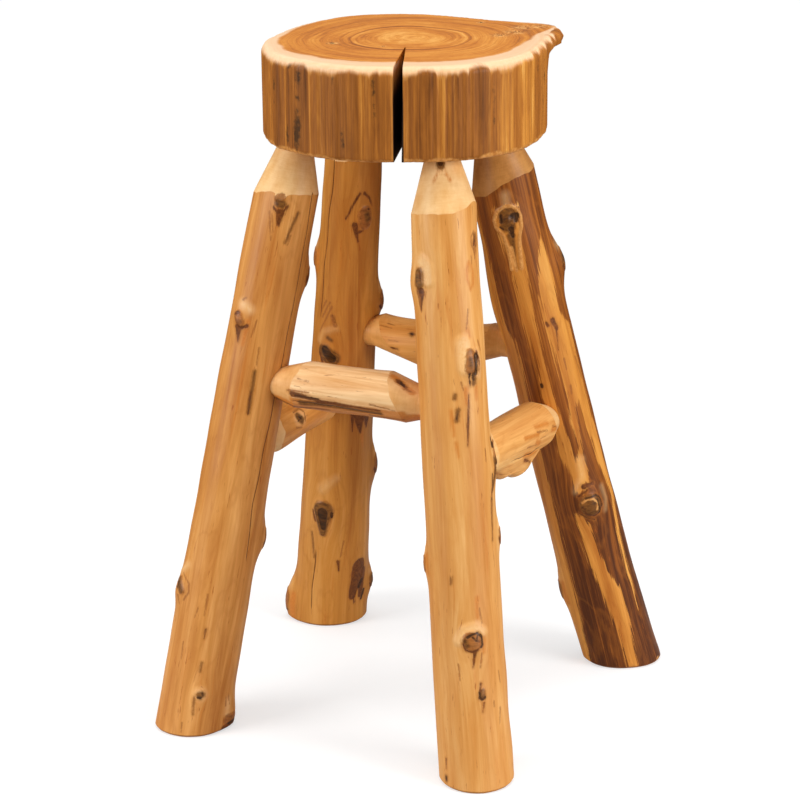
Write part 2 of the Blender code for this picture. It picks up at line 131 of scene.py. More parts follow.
# How finely the skins are cut
LEG_COLUMNS = 180
LEG_ROWS = 480
RUNG_COLUMNS = 144
RUNG_ROWS = 190
SLAB_COLUMNS = 660
BORE_SIDES = 48
FLAT_DEPTH = 0.00020
LEG_SEED = 100
RUNG_SEED = 200
SEED_STEP = 10
CROWDING = 0.35
MARKED_TURN = -65
SMOOTH_DEGREES = 32
NOTHING = 0.001
FAR = 6.0
FACE_SKIRT = 0.9
COLLAR_SKIRT = 3.5
CROWN = 1.6
CRACK_LIP = 0.7
BEND_WIDTH = 1.9
BEND_LENGTH = 3.4
BEND_PUSH = 0.9
WELD = 0.000002
TOUCH = 0.00003

# Satin lacquer over the wood
LACQUER = {"Specular IOR Level": 0.20, "Coat Weight": 0.10, "Coat Roughness": 0.30}
WHITE = (1.0, 1.0, 1.0, 1.0)


def linear(red: int, green: int, blue: int) -> Colour:
    """Return a colour, given from 0 to 255 as a picture holds it, in linear light."""
    def channel(value: int) -> float:
        share = value / 255
        return share / 12.92 if share <= 0.04045 else ((share + 0.055) / 1.055) ** 2.4

    return (channel(red), channel(green), channel(blue), 1.0)


def mix(low: Array | float, high: Array | float, share: Array | float) -> Array | float:
    """Return the value that lies this share of the way from low to high."""
    return low + (high - low) * share


def smooth(value: Array, low: float, high: float) -> Array:
    """Return 0 below low, 1 above high, and a smooth step between."""
    share = np.clip((value - low) / (high - low), 0, 1)
    return share * share * (3 - 2 * share)


def wrapped(turn: Array) -> Array:
    """Return a turn in radians, brought between minus pi and pi."""
    return (turn + pi) % tau - pi


def unit(vector: Array) -> Array:
    """Return the vector at length 1."""
    return vector / np.linalg.norm(vector)


def ring(turn: Array, along: Array | float, size: Array | float) -> Array:
    """Return the places of a ring round Z, at these lengths along Z and this far out."""
    return np.stack(np.broadcast_arrays(np.cos(turn) * size, np.sin(turn) * size, along), -1)


def polar(places: Array) -> tuple[Array, Array]:
    """Return the turns of places round Z, and how far out they are."""
    return np.arctan2(places[:, 1], places[:, 0]), np.hypot(places[:, 0], places[:, 1])


def toward(turn: float) -> Array:
    """Return the level direction at this turn."""
    return np.array((cos(radians(turn)), sin(radians(turn))))


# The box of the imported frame, which every piece stays in
FRAME_BOX: list[Place] = []


class Wood(Enum):
    """The record's material slots for the wooden pieces."""

    SAP = "sapwood"
    HEART = "heartwood"
    SLAB = "slabwood"


@dataclass(frozen=True)
class Ripple:
    """A smooth unevenness round and along a log: a seeded sum of cosines.

    Args:
        seed: what the draws start from.
        height: the usual height of the sum.
        around: the fewest and the most waves round the log.
        lengths: the shortest and the longest wave along it, in metres.
        count: how many waves are added.
    """

    seed: int
    height: float
    around: tuple[int, int]
    lengths: Pair
    count: int = 14

    def at(self, turn: Array, along: Array) -> Array:
        """Return the height at these turns and lengths."""
        draw = np.random.default_rng(self.seed)
        total = np.zeros(np.broadcast(turn, along).shape)
        for _ in range(self.count):
            waves = draw.integers(self.around[0], self.around[1] + 1) * draw.choice((-1, 1))
            length = draw.uniform(*self.lengths)
            total += np.cos(waves * turn + tau * along / length + draw.uniform(0, tau))
        return total * self.height / sqrt(self.count / 2)


@dataclass(frozen=True)
class Swelling:
    """A swelling of the log that its CAD solid also has, at a branch.

    Args:
        along: its place as a share of the log's length.
        turn: its place round the log.
        width: its half width as a share of the log's radius.
        rise: its height as a share of the log's radius.
    """

    along: float
    turn: float
    width: float
    rise: float


class Tint(Enum):
    """The tints that knots and streaks are drawn in, from the lowest layer to the highest."""

    # The pale tint draws pale wood round the knots and, on the swollen collars over them, a painted
    # highlight
    AMBER, LIGHT, RUST, SMOKE, BARK, PIT, RIM = range(7)


@dataclass(frozen=True)
class Stroke:
    """A stroke of one tint, drawn from its knot's middle in millimetres.

    Args:
        tint: its tint.
        half: its half width where it starts.
        places: its points, as (to the right, up the log).
        taper: its half width where it ends, as a share of that where it starts.
        lift: how far it stands proud.
    """

    tint: Tint
    half: float
    places: tuple[Pair, ...]
    taper: float = 1.0
    lift: float = 0.0

    def inside(self, across: Array, up: Array) -> Array:
        """Return how far places are inside the stroke, in millimetres."""
        points = np.array(self.places * 2 if len(self.places) == 1 else self.places, float)
        ways = np.diff(points, axis=0)
        spans = np.maximum(np.hypot(ways[:, 0], ways[:, 1]), NOTHING)
        best = np.full(across.shape, -FAR)
        done = 0.0
        for start, way, span in zip(points, ways, spans):
            x, y = across - start[0], up - start[1]
            share = np.clip((x * way[0] + y * way[1]) / span**2, 0, 1)
            off = np.hypot(x - way[0] * share, y - way[1] * share)
            run = (done + span * share) / spans.sum()
            best = np.maximum(best, self.half * mix(1, self.taper, run) - off)
            done += span
        return best


def drawn(tint: Tint) -> Callable[..., Stroke]:
    """Return the maker of this tint's strokes, from their half width and their points."""
    def stroke(half: float, *places: Pair, taper: float = 1, lift: float = 0) -> Stroke:
        return Stroke(tint, half, places, taper, lift)

    return stroke


# The light strokes paint pale wood and a painted highlight on the knots' swollen collars
amber, light, rust, smoke, bark, pit, rim = (drawn(tint) for tint in Tint)


@dataclass(frozen=True)
class Knot:
    """A knot or a few streaks on a log, drawn round their middle.

    Args:
        along: where its middle is, as a share of the log's length.
        turn: where its middle is round the log.
        strokes: what it is drawn with.
    """

    along: float
    turn: float
    strokes: tuple[Stroke, ...]

    @property
    def bend(self) -> float:
        """Return the half width that the fibres pass round, in millimetres."""
        faces = [stroke.half for stroke in self.strokes if stroke.lift > 0]
        return max(faces, default=0.0)

    @property
    def spread(self) -> float:
        """Return how far it reaches up or down the log, in millimetres."""
        return max(abs(up) + stroke.half for stroke in self.strokes for _, up in stroke.places)


def branch(
    along: float, turn: float, width: float, length: float, dark: float = 0.5, tail: float = 0.0,
    lean: float = 0.0,
) -> Knot:
    """Return a plain knot: an uneven face with a dark crescent under a swelling painted pale, as a
    highlight.

    Args:
        along, turn: where its middle is.
        width, length: its half width and half length in millimetres.
        dark: its tone, from 0 for reddish to 1 for nearly black.
        tail: how far its bark pocket runs down the log, in millimetres.
        lean: how far that pocket runs aside, in millimetres.
    """
    draw = np.random.default_rng(int(along * 1000) + abs(int(turn)))
    tilt = draw.uniform(-0.3, 0.3) * width
    high = length - width * 0.8
    face = (rust if dark < 0.5 else smoke)(
        width * 0.8, (tilt * 0.3, -high), (-tilt * 0.3, high), lift=0.8
    )
    first = draw.uniform(170, 215)
    turns = np.radians(np.linspace(first, first + draw.uniform(110, 160), 5))
    crescent = tuple((cos(way) * width * 0.86, sin(way) * length * 0.92) for way in turns)
    strokes = [
        # Painted highlight on the pale swelling over the knot
        light(width * 0.5, (-tilt, length * 1.5), (tilt, length * 1.2), lift=0.4),
        amber(width * 0.3, (width * 1.15, length), (width * 1.3, -length)),
        face,
        bark(width * 0.17, *crescent, taper=0.6),
        pit(width * mix(0.14, 0.34, dark), (tilt, length * 0.3), (tilt * 0.4, -length * 0.25)),
    ]
    if tail:
        ends = (tilt * 0.5, -length * 0.95), (lean, -length - tail)
        strokes.append(bark(width * 0.32, *ends, taper=0.15))
    return Knot(along, turn, tuple(strokes))


@dataclass(frozen=True)
class Crack:
    """A drying crack or a resin streak along the grain.

    Args:
        places: its points, as (share of the log's length, turn).
        width: its half width in millimetres.
    """

    places: tuple[Pair, ...]
    width: float = 0.5


@dataclass(frozen=True)
class Band:
    """A strip of pale sapwood left on a log that is peeled down to its heartwood.

    Args:
        stations: its edges, as (share of the log's length, lower turn, upper turn).
    """

    stations: Table


Mark = Swelling | Knot | Crack | Band


class Shop:
    """Blender's modelling operators, used as by hand on one piece at a time."""

    @staticmethod
    def only(piece: Thing) -> None:
        """Select this piece alone and make it active."""
        bpy.ops.object.select_all(action="DESELECT")
        piece.select_set(True)
        bpy.context.view_layer.objects.active = piece

    @classmethod
    def rolled(cls, name: str, rows: Array) -> Thing:
        """Roll a sheet into a closed turned form.

        Args:
            name: the new object's name.
            rows: places as rows by columns by 3. The first and the last column meet, and the
                first and the last row are each one point.
        """
        bpy.ops.mesh.primitive_grid_add(
            x_subdivisions=rows.shape[1] - 1, y_subdivisions=rows.shape[0] - 1, size=1
        )
        piece = bpy.context.active_object
        piece.name = piece.data.name = name
        piece.matrix_world = Matrix.Identity(4)
        cls.move(piece, rows)
        piece.data.update()
        cls.only(piece)
        bpy.ops.object.mode_set(mode="EDIT")
        bpy.ops.mesh.select_all(action="SELECT")
        bpy.ops.mesh.remove_doubles(threshold=WELD)
        bpy.ops.mesh.normals_make_consistent(inside=False)
        bpy.ops.object.mode_set(mode="OBJECT")
        return piece

    @classmethod
    def turned(cls, name: str, outline: list[Pair], origin: Array, axes: Array) -> Thing:
        """Turn a closed form from its outline.

        Args:
            name: the new object's name.
            outline: points as (along, radius), from one end to the other.
            origin: the place of its start.
            axes: its own X, Y and Z as rows.
        """
        turn = np.linspace(0, tau, BORE_SIDES + 1)
        closed = [(outline[0][0], 0.0), *outline, (outline[-1][0], 0.0)]
        rows = np.array([ring(turn, along, size) for along, size in closed])
        return cls.rolled(name, origin + rows @ axes)

    @classmethod
    def smoothed(cls, piece: Thing, crisp: Array | None = None) -> None:
        """Shade a piece smooth, with sharp edges where it turns hard.

        Args:
            piece: the piece to shade.
            crisp: for each point, whether it lies on a line that stays crisp.
        """
        cls.only(piece)
        bpy.ops.object.shade_smooth_by_angle(angle=radians(SMOOTH_DEGREES))
        if crisp is None:
            return
        mesh = piece.data
        ends = np.empty(len(mesh.edges) * 2, np.int32)
        mesh.edges.foreach_get("vertices", ends)
        sharp = np.zeros(len(mesh.edges), bool)
        mesh.edges.foreach_get("use_edge_sharp", sharp)
        sharp |= crisp[ends.reshape(-1, 2)].all(axis=1)
        mesh.edges.foreach_set("use_edge_sharp", sharp)
        mesh.update()

    @staticmethod
    def places(piece: Thing) -> Array:
        """Return a piece's points."""
        found = np.empty(len(piece.data.vertices) * 3, np.float32)
        piece.data.vertices.foreach_get("co", found)
        return found.reshape(-1, 3).astype(np.float64)

    @staticmethod
    def move(piece: Thing, places: Array) -> None:
        """Put a piece's points in these places."""
        piece.data.vertices.foreach_set("co", places.astype(np.float32).ravel())

    @staticmethod
    def note(piece: Thing, **values: Array | tuple[Array, Array, Array]) -> None:
        """Store a number, or three, for each point of a piece, under each name."""
        for name, value in values.items():
            kind, key = ("FLOAT_VECTOR", "vector") if np.ndim(value) == 2 else ("FLOAT", "value")
            layer = piece.data.attributes.new(name, kind, "POINT")
            layer.data.foreach_set(key, np.transpose(value).astype(np.float32).ravel())

    @classmethod
    def cut(cls, piece: Thing, cutters: list[Thing]) -> None:
        """Cut these out of a piece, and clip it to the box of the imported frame."""
        for cutter in cutters:
            cls.only(piece)
            tool = piece.modifiers.new("Cut", "BOOLEAN")
            tool.operation = "DIFFERENCE"
            tool.solver = "MANIFOLD"
            tool.object = cutter
            bpy.ops.object.modifier_apply(modifier=tool.name)
        cls.move(piece, np.clip(cls.places(piece), *FRAME_BOX))

    @staticmethod
    def settle(piece: Thing, node: str, finish: PeeledFinish | SlabFinish) -> None:
        """Give a piece its finish, and enter it in the frame for its CAD node."""
        piece.data.materials.clear()
        piece.data.materials.append(finish.material())
        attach(piece, "root")
        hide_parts(node)
        LOG.info("%s: %d points", piece.name, len(piece.data.vertices))


@dataclass(frozen=True)
class Value:
    """A number that a material's nodes give, with arithmetic that adds Math nodes."""

    shader: Shader
    socket: Socket

    def __add__(self, other: Value | float) -> Value:
        """Return the sum of both."""
        return self.shader.math("ADD", self, other)

    def __sub__(self, other: Value | float) -> Value:
        """Return this less the other."""
        return self.shader.math("SUBTRACT", self, other)

    def __rsub__(self, other: float) -> Value:
        """Return the other less this."""
        return self.shader.math("SUBTRACT", other, self)

    def __mul__(self, other: Value | float) -> Value:
        """Return the product of both."""
        return self.shader.math("MULTIPLY", self, other)

    def __abs__(self) -> Value:
        """Return it without its sign."""
        return self.shader.math("ABSOLUTE", self)


class Shader:
    """The nodes of one material, with short calls for those that these finishes use."""

    def __init__(self, name: str, shift: float = 0.0, grained: bool = False) -> None:
        """Make the material, with its Principled shader.

        Args:
            name: its name.
            shift: where its clouds start.
            grained: whether its clouds follow the grain, not the piece's own coordinates.
        """
        self.material = bpy.data.materials.new(name)
        self.material.use_nodes = True
        self.tree = self.material.node_tree
        self.surface = self.tree.nodes["Principled BSDF"]
        self.shift = shift
        self.place = self.attribute("grain") if grained else self.node("TexCoord").outputs["Object"]

    def put(self, socket: Socket, value: object) -> None:
        """Link a socket, or set its value."""
        value = value.socket if isinstance(value, Value) else value
        if isinstance(value, bpy.types.NodeSocket):
            self.tree.links.new(value, socket)
        else:
            socket.default_value = value

    def fill(self, node: bpy.types.Node, inputs: dict[str | int, object]) -> bpy.types.Node:
        """Link or set a node's inputs by their names or numbers."""
        for key, value in inputs.items():
            self.put(node.inputs[key], value)
        return node

    def node(self, kind: str, inputs: dict[str | int, object] | None = None) -> bpy.types.Node:
        """Add a node of this kind, with its inputs."""
        return self.fill(self.tree.nodes.new("ShaderNode" + kind), inputs or {})

    def attribute(self, name: str, output: str = "Vector") -> Socket:
        """Return a point attribute."""
        node = self.node("Attribute")
        node.attribute_name = name
        return node.outputs[output]

    def number(self, name: str) -> Value:
        """Return a point attribute as a number."""
        return Value(self, self.attribute(name, "Fac"))

    def parts(self, vector: Socket) -> tuple[Value, ...]:
        """Return a vector's three numbers."""
        return tuple(Value(self, part) for part in self.node("SeparateXYZ", {0: vector}).outputs)

    def noted(self, name: str) -> tuple[Value, ...]:
        """Return the three numbers that the points hold under this name."""
        return self.parts(self.attribute(name))

    def vector(self, x: Value | float, y: Value | float, z: Value | float) -> Socket:
        """Return a vector made of three numbers."""
        return self.node("CombineXYZ", {0: x, 1: y, 2: z}).outputs[0]

    def math(self, operation: str, *values: Value | float) -> Value:
        """Return a Math node's result."""
        node = self.node("Math")
        node.operation = operation
        self.fill(node, dict(enumerate(values)))
        return Value(self, node.outputs[0])

    def noise(
        self, vector: Socket, detail: float, roughness: float = 0.6, twist: float = 0.0
    ) -> Value:
        """Return smooth noise at a place that is already scaled."""
        node = self.node("TexNoise", {
            "Vector": vector, "Scale": 1.0, "Detail": detail, "Roughness": roughness,
            "Distortion": twist,
        })
        return Value(self, node.outputs["Fac"])

    def cloud(self, waves: Place, offset: float, *noise: float) -> Value:
        """Return noise over the piece.

        Args:
            waves: how often it changes along each axis, per metre.
            offset: how far it starts from the material's own shift.
            noise: its detail, its roughness and its twist.
        """
        node = self.node("VectorMath")
        node.operation = "MULTIPLY_ADD"
        self.fill(node, {0: self.place, 1: waves, 2: (self.shift + offset,) * 3})
        return self.noise(node.outputs[0], *noise)

    def step(self, value: Value | Socket, low: float, high: float) -> Value:
        """Return a smooth step from 0 at low to 1 at high."""
        node = self.node("MapRange", {"Value": value, "From Min": low, "From Max": high})
        node.interpolation_type = "SMOOTHSTEP"
        return Value(self, node.outputs["Result"])

    def ramp(self, value: Value, *stops: tuple[float, Colour]) -> Socket:
        """Return the colour that the stops give a number from 0 to 1."""
        node = self.node("ValToRGB", {0: value})
        elements = node.color_ramp.elements
        for element, (position, colour) in zip(elements, (stops[0], stops[-1])):
            element.position = position
            element.color = colour
        for position, colour in stops[1:-1]:
            elements.new(position).color = colour
        return node.outputs["Color"]

    def blend(self, share: Value, low: Socket, high: Socket | Colour) -> Socket:
        """Return the mix of two colours."""
        node = self.node("Mix")
        node.data_type = "RGBA"
        node.clamp_factor = True
        self.fill(node, {"Factor": share, 6: low, 7: high})
        return node.outputs[2]

    def finish(
        self, colour: Socket, gloss: Value, height: Value, depth: float, strength: float,
        surface: dict[str, float],
    ) -> bpy.types.Material:
        """Link the surface's colour, roughness and bump, and return the material."""
        bump = self.node("Bump", {"Strength": strength, "Distance": depth, "Height": height})
        self.fill(self.surface, surface | {
            "Base Color": colour, "Roughness": gloss, "Normal": bump.outputs["Normal"],
        })
        return self.material


@dataclass(frozen=True)
class PeeledFinish:
    """Hand-peeled pole under satin lacquer: streaky sapwood, knots, cracks and turned cones.

    Args:
        name: the material's name.
        slot: the record's slot; not used.
        pale, gold, amber: the sapwood's light, middle and dark streaks.
        cone, cone_dark: the turned ends.
        shift: where its noise starts, so that no two poles look alike.
        mottle: how strong the darker streaks are, from 0 to 1.
        shine: how pale the swollen collars over the knots are painted, as pale wood under a painted
            highlight, from 0 to 1.
        dusk: how much darker its foot half is, from 0 to 1.
    """

    name: str
    slot: Wood = Wood.SAP
    pale: Colour = linear(236, 174, 98)
    gold: Colour = linear(214, 144, 66)
    amber: Colour = linear(184, 108, 38)
    cone: Colour = linear(244, 200, 140)
    cone_dark: Colour = linear(228, 172, 104)
    shift: float = 0.0
    mottle: float = 0.5
    shine: float = 0.55
    dusk: float = 0.0

    def ground(self, shader: Shader) -> Socket:
        """Return the colour of the plain wood, before knots and cracks."""
        broad = shader.cloud((24, 24, 3.4), 0, 2, 0.5, 0.6)
        band = shader.cloud((80, 80, 5.0), 7, 5, 0.62, 0.9)
        fibre = shader.cloud((520, 520, 12), 0, 3)
        tone = band * 0.52 + broad * 0.48 + fibre * 0.10 - 0.05
        low = 0.46 - 0.08 * self.mottle
        sap = shader.ramp(
            tone, (low - 0.10, self.pale), (low + 0.06, self.gold), (low + 0.24, self.amber)
        )
        _, _, along = shader.parts(shader.place)
        lower = shader.step(along, 0.56, 0.16) * self.dusk
        return shader.blend(lower, sap, linear(150, 84, 24))

    def marked(self, shader: Shader, colour: Socket, ragged: Value, blot: Value) -> tuple:
        """Lay the knots' tints over a colour, and return it with the knots' depth."""
        soft, pale_and_highlight, face = shader.noted("warm")
        grey, brown, hollow = shader.noted("dark")
        border = shader.number("border")
        deepest = shader.math("MAXIMUM", shader.math("MAXIMUM", brown, hollow), grey)

        def mask(inside: Value, tear: float, stain: float, low: float, high: float) -> Value:
            return shader.step(blot * stain + (ragged * tear + inside), low, high)

        layers = (
            (mask(soft, 7.0, 2.5, -2.8, 2.4), 0.85, linear(192, 108, 34), linear(210, 128, 46)),
            # Pale wood and a painted highlight on the knots' swollen collars, as strong as shine
            (mask(pale_and_highlight, 1.0, 3.0, -5.6, 6.4), self.shine, linear(255, 216, 160),
             linear(244, 190, 122)),
            (mask(deepest, 6.0, 4.0, -3.6, 1.0), 0.55, linear(150, 84, 28), linear(190, 116, 46)),
            (mask(face, 4.0, 4.4, -1.2, 1.2), 0.85, linear(116, 62, 20), linear(176, 106, 46)),
            (mask(grey, 4.0, 5.4, -1.6, 1.8), 0.9, linear(72, 42, 12), linear(140, 88, 34)),
            (mask(border, 1.0, 1.6, -0.6, 0.7), 0.9, linear(224, 164, 92), linear(192, 124, 58)),
            (mask(brown, 5.0, 3.0, -0.8, 0.9), 0.92, linear(74, 34, 8), linear(128, 68, 22)),
            (mask(hollow, 2.4, 3.8, -0.6, 0.8), 0.95, linear(30, 15, 2), linear(84, 48, 14)),
        )
        for share, strength, low, high in layers:
            tint = shader.ramp(blot + 0.5, (0.36, low), (0.66, high))
            colour = shader.blend(share * strength, colour, tint)
        return colour, layers[-2][0] + layers[-1][0]

    def material(self) -> bpy.types.Material:
        """Build the material."""
        shader = Shader(self.name, self.shift, grained=True)
        side, width, close = shader.noted("crack")
        turned, sawn, depth = shader.noted("tooled")
        rough = shader.cloud((260, 260, 90), 3, 4)
        fine = shader.cloud((900, 900, 60), 5, 2, 0.5)
        ragged = shader.cloud((620, 620, 46), 2, 4, 0.65) - 0.5
        blot = shader.cloud((430, 430, 300), 4, 4, 0.65) - 0.5
        colour = self.ground(shader)

        # Growth rings that the knife cut through
        year = shader.math("PINGPONG", rough * 0.35 + depth, 0.5)
        line = shader.step(year, 0.36, 0.5) * (0.30 * self.mottle)
        colour = shader.blend(line, colour, self.amber)

        # Soft amber streaks, with short resin dashes and fine flecks in them
        streak = shader.cloud((150, 150, 7), 13, 4, 0.65, 0.5)
        dash = shader.cloud((230, 230, 20), 11, 4, 0.7)
        fleck = streak * 0.35 + shader.cloud((460, 460, 44), 23, 3)
        for trace, low, high, strength, tint in (
            (streak, 0.60 - 0.05 * self.mottle, 0.76, 0.6, linear(198, 116, 42)),
            (dash, 0.70 - 0.035 * self.mottle, 0.76, 0.8, linear(160, 86, 30)),
            (fleck, 0.855 - 0.04 * self.mottle, 0.91, 0.75, linear(156, 80, 24)),
        ):
            colour = shader.blend(shader.step(trace, low, high) * strength, colour, tint)

        # Turned cones and tenons, and the sawn foot
        fan = shader.cloud((70, 70, 520), 19, 3)
        cut_tone = fan * 0.22 + shader.cloud((60, 60, 30), 17, 4) * 0.78
        cut = shader.ramp(cut_tone, (0.38, self.cone), (0.66, self.cone_dark))
        colour = shader.blend(turned, colour, cut)
        colour = shader.blend(sawn * 0.7, colour, self.amber)
        colour, sunk = self.marked(shader, colour, ragged, blot)

        # Drying cracks
        gap = abs(ragged * 0.9 + side)
        crack = shader.step(width - gap, -0.15, 0.25) * close
        colour = shader.blend(crack * 0.9, colour, linear(92, 52, 20))

        height = rough * 0.4 + fine * 0.3 + fan * (turned * 0.5) - crack * 1.2 - sunk * 0.6
        gloss = rough * 0.18 + 0.42
        return shader.finish(colour, gloss, height, 0.0006, 0.75, LACQUER)


@dataclass(frozen=True)
class HeartFinish(PeeledFinish):
    """The same for the pole that is peeled down to its heartwood in places."""

    heart_light: Colour = linear(176, 104, 34)
    heart: Colour = linear(134, 72, 20)
    heart_dark: Colour = linear(84, 40, 8)

    def ground(self, shader: Shader) -> Socket:
        """Return the colour of the wood, with heartwood showing between bands of sapwood."""
        sap = PeeledFinish.ground(self, shader)
        band = shader.cloud((170, 170, 3), 21, 4, 0.62, 0.3)
        fibre = shader.cloud((560, 560, 9), 23, 3)
        _, _, along = shader.parts(shader.place)
        tone = fibre * 0.35 + band * 0.65 + shader.step(along, 0.34, 0.04) * 0.14
        heart = shader.ramp(
            tone, (0.36, self.heart_light), (0.5, self.heart), (0.66, self.heart_dark)
        )
        edge = shader.cloud((300, 300, 7), 29, 5, 0.7, 0.2)
        split = shader.cloud((640, 640, 11), 33, 4, 0.7)
        inside = edge * 12.0 + shader.number("heart") + split * 16.0
        return shader.blend(shader.step(inside, 13.4, 14.8), sap, heart)


@dataclass(frozen=True)
class SlabFinish:
    """The seat: a ringed top under lacquer, pale knife-cut edges, and a fluted brown side.

    Args:
        name: the material's name.
        slot: the record's slot; not used.
        shift: where its noise starts.
        kerf: the kerf's tip, its direction, how much it widens per metre, and its least width.
    """

    name: str = "slab wood"
    slot: Wood = Wood.SLAB
    shift: float = 3.0
    kerf: tuple[Pair, Pair, float, float] = ((0, 0), (0, -1), 0, 0)

    def top(self, shader: Shader, grit: Value) -> Socket:
        """Return the colour of the sawn faces, ringed heartwood in a band of sapwood."""
        year, core, east = shader.noted("slab")
        knotty, whorl, north = shader.noted("figure")
        blur = shader.cloud((17, 17, 17), 0, 3, 0.55)
        bent = blur * 0.06 + year
        east = east * 0.8 + self.shift
        north = north * 0.8
        years = shader.noise(shader.vector(bent * 52.0, north, east), 4, 0.74)
        broad = shader.noise(shader.vector(bent * 9.0, east, north), 3, 0.55, 0.4)

        # The one strong ring with a paler band inside it, the pale disc and the dark pith
        strong = 1.0 - shader.step(abs(bent - 0.455), 0.003, 0.024)
        inner = 1.0 - shader.step(abs(bent - 0.425), 0.002, 0.020)
        rings = years * 0.5 + broad * 0.5 + grit * 0.14 - 0.07 + strong * 0.12 - inner * 0.10
        rings = rings - shader.step(bent, 0.285, 0.255) * 0.08 - shader.step(year, 0.5, 0.0) * 0.06
        rings = rings + shader.step(bent, 0.075, 0.02) * 0.14
        heart = shader.ramp(
            rings, (0.30, linear(240, 174, 86)), (0.42, linear(221, 143, 50)),
            (0.53, linear(201, 119, 31)), (0.68, linear(148, 78, 14)),
        )
        sap = shader.ramp(rings, (0.35, linear(246, 208, 170)), (0.7, linear(236, 186, 134)))
        edge = grit * 3.0 + core + blur * 3.0
        colour = shader.blend(shader.step(edge, 0.4, 6.0), sap, heart)
        loop = shader.cloud((150, 150, 150), 8, 5, 0.7, 1.6)
        swirl = shader.ramp(
            loop, (0.43, linear(248, 190, 112)), (0.49, linear(216, 138, 54)),
            (0.545, linear(146, 78, 20)), (0.60, linear(92, 48, 10)),
        )
        colour = shader.blend(whorl * 0.92, colour, swirl)
        return shader.blend(shader.step(loop * 5.0 + knotty, 2.4, 3.4), colour, linear(86, 62, 20))

    def kerf_shade(self, shader: Shader) -> Value:
        """Return how dark the kerf's walls are: old dust and shade, deeper down more of it."""
        tip, way, flare, narrow = self.kerf
        x, y, z = shader.parts(shader.place)
        x, y = x - tip[0], y - tip[1]
        out = x * way[0] + y * way[1]
        side = y * way[0] - x * way[1]
        gap = out * (flare / 2) + (narrow / 2 + 0.3 * MM) - abs(side)
        inside = shader.step(gap, 0.0, 0.1 * MM)
        ahead = shader.step(out, -0.5 * MM, 0.0)
        deep = shader.step(SEAT_HEIGHT - z, MM, 40 * MM)
        return inside * ahead * deep

    def flank(self, shader: Shader, grit: Value) -> tuple[Socket, Value]:
        """Return the colour of the side, and its fibres."""
        tone, around, up = shader.noted("side")
        fibre = shader.noise(shader.vector(around * 420.0, up * 7.0, self.shift), 5, 0.74, 0.3)
        wide = shader.vector(around * 90.0, up * 11.0, self.shift + 9)
        patch = shader.noise(wide, 5, 0.62, 0.8)
        colour = shader.ramp(
            fibre * 0.82 + patch * 0.58 + tone - 0.70,
            (0.12, linear(92, 50, 12)), (0.32, linear(134, 76, 22)), (0.54, linear(170, 102, 34)),
            (0.76, linear(208, 136, 52)), (0.95, linear(238, 180, 94)),
        )
        stain, glow, _ = shader.noted("stain")
        torn = shader.step(patch * 11.0 + grit * 11.0 + stain, 10.4, 15.0)
        colour = shader.blend(torn * 0.85, colour, linear(50, 32, 8))
        lit = shader.step(fibre * 3.0 + glow + patch * 3.0, 2.2, 4.6)
        return shader.blend(lit * 0.4, colour, linear(226, 158, 76)), fibre

    def material(self) -> bpy.types.Material:
        """Build the material."""
        shader = Shader(self.name, self.shift)
        brim, foot, burr = shader.noted("edge")
        fine = shader.cloud((600, 600, 600), 0, 3)
        grit = shader.cloud((170, 170, 170), 5, 4)
        face = self.top(shader, grit)
        strips, fibre = self.flank(shader, grit)

        # The pale knife-cut edge runs out into the side's strips
        loose = fibre * 4.0 + grit * 3.0 - 3.5
        skin = shader.step(brim + loose, -3.4, 3.4) * shader.step(foot + loose, -1.0, 2.4)
        # Painted shade: the pale faces of the lower half are painted a darker tan; burr here reads that
        # lower-half share
        low = shader.ramp(grit, (0.35, linear(222, 156, 84)), (0.65, linear(188, 118, 50)))
        _, _, up = shader.noted("side")
        # Painted shade: more than about a centimetre below the top, the pale edge is painted tan instead
        # of cream
        drop = SEAT_THICKNESS - up + fibre * (5 * MM)
        shade_below_rim = shader.ramp(fibre, (0.35, linear(222, 158, 84)), (0.65, linear(196, 126, 54)))
        face = shader.blend(shader.step(drop, 6 * MM, 14 * MM), face, shade_below_rim)
        face = shader.blend(shader.step(burr, 0.0, 1.0), face, low)
        colour = shader.blend(skin, face, strips)
        colour = shader.blend(self.kerf_shade(shader), colour, linear(44, 24, 10))

        height = fibre * skin + fine * 0.10
        gloss = skin * 0.14 + 0.42 + grit * 0.12
        dull = LACQUER | {"Specular IOR Level": 0.18}
        return shader.finish(colour, gloss, height, 0.0007, 0.7, dull)


@dataclass(frozen=True)
class ScrewFinish:
    """Yellow-zinc steel of the wood screws, with a little wear."""

    name: str = "screw steel"

    def material(self) -> bpy.types.Material:
        """Build the material."""
        shader = Shader(self.name)
        cloud = shader.cloud((500, 500, 500), 0, 4)
        scratch = shader.cloud((2400, 2400, 300), 0, 3)
        colour = shader.ramp(cloud, (0.35, linear(205, 190, 150)), (0.65, linear(160, 146, 112)))
        gloss = scratch * 0.25 + 0.22
        return shader.finish(colour, gloss, scratch, 0.0001, 0.4, {"Metallic": 1.0})


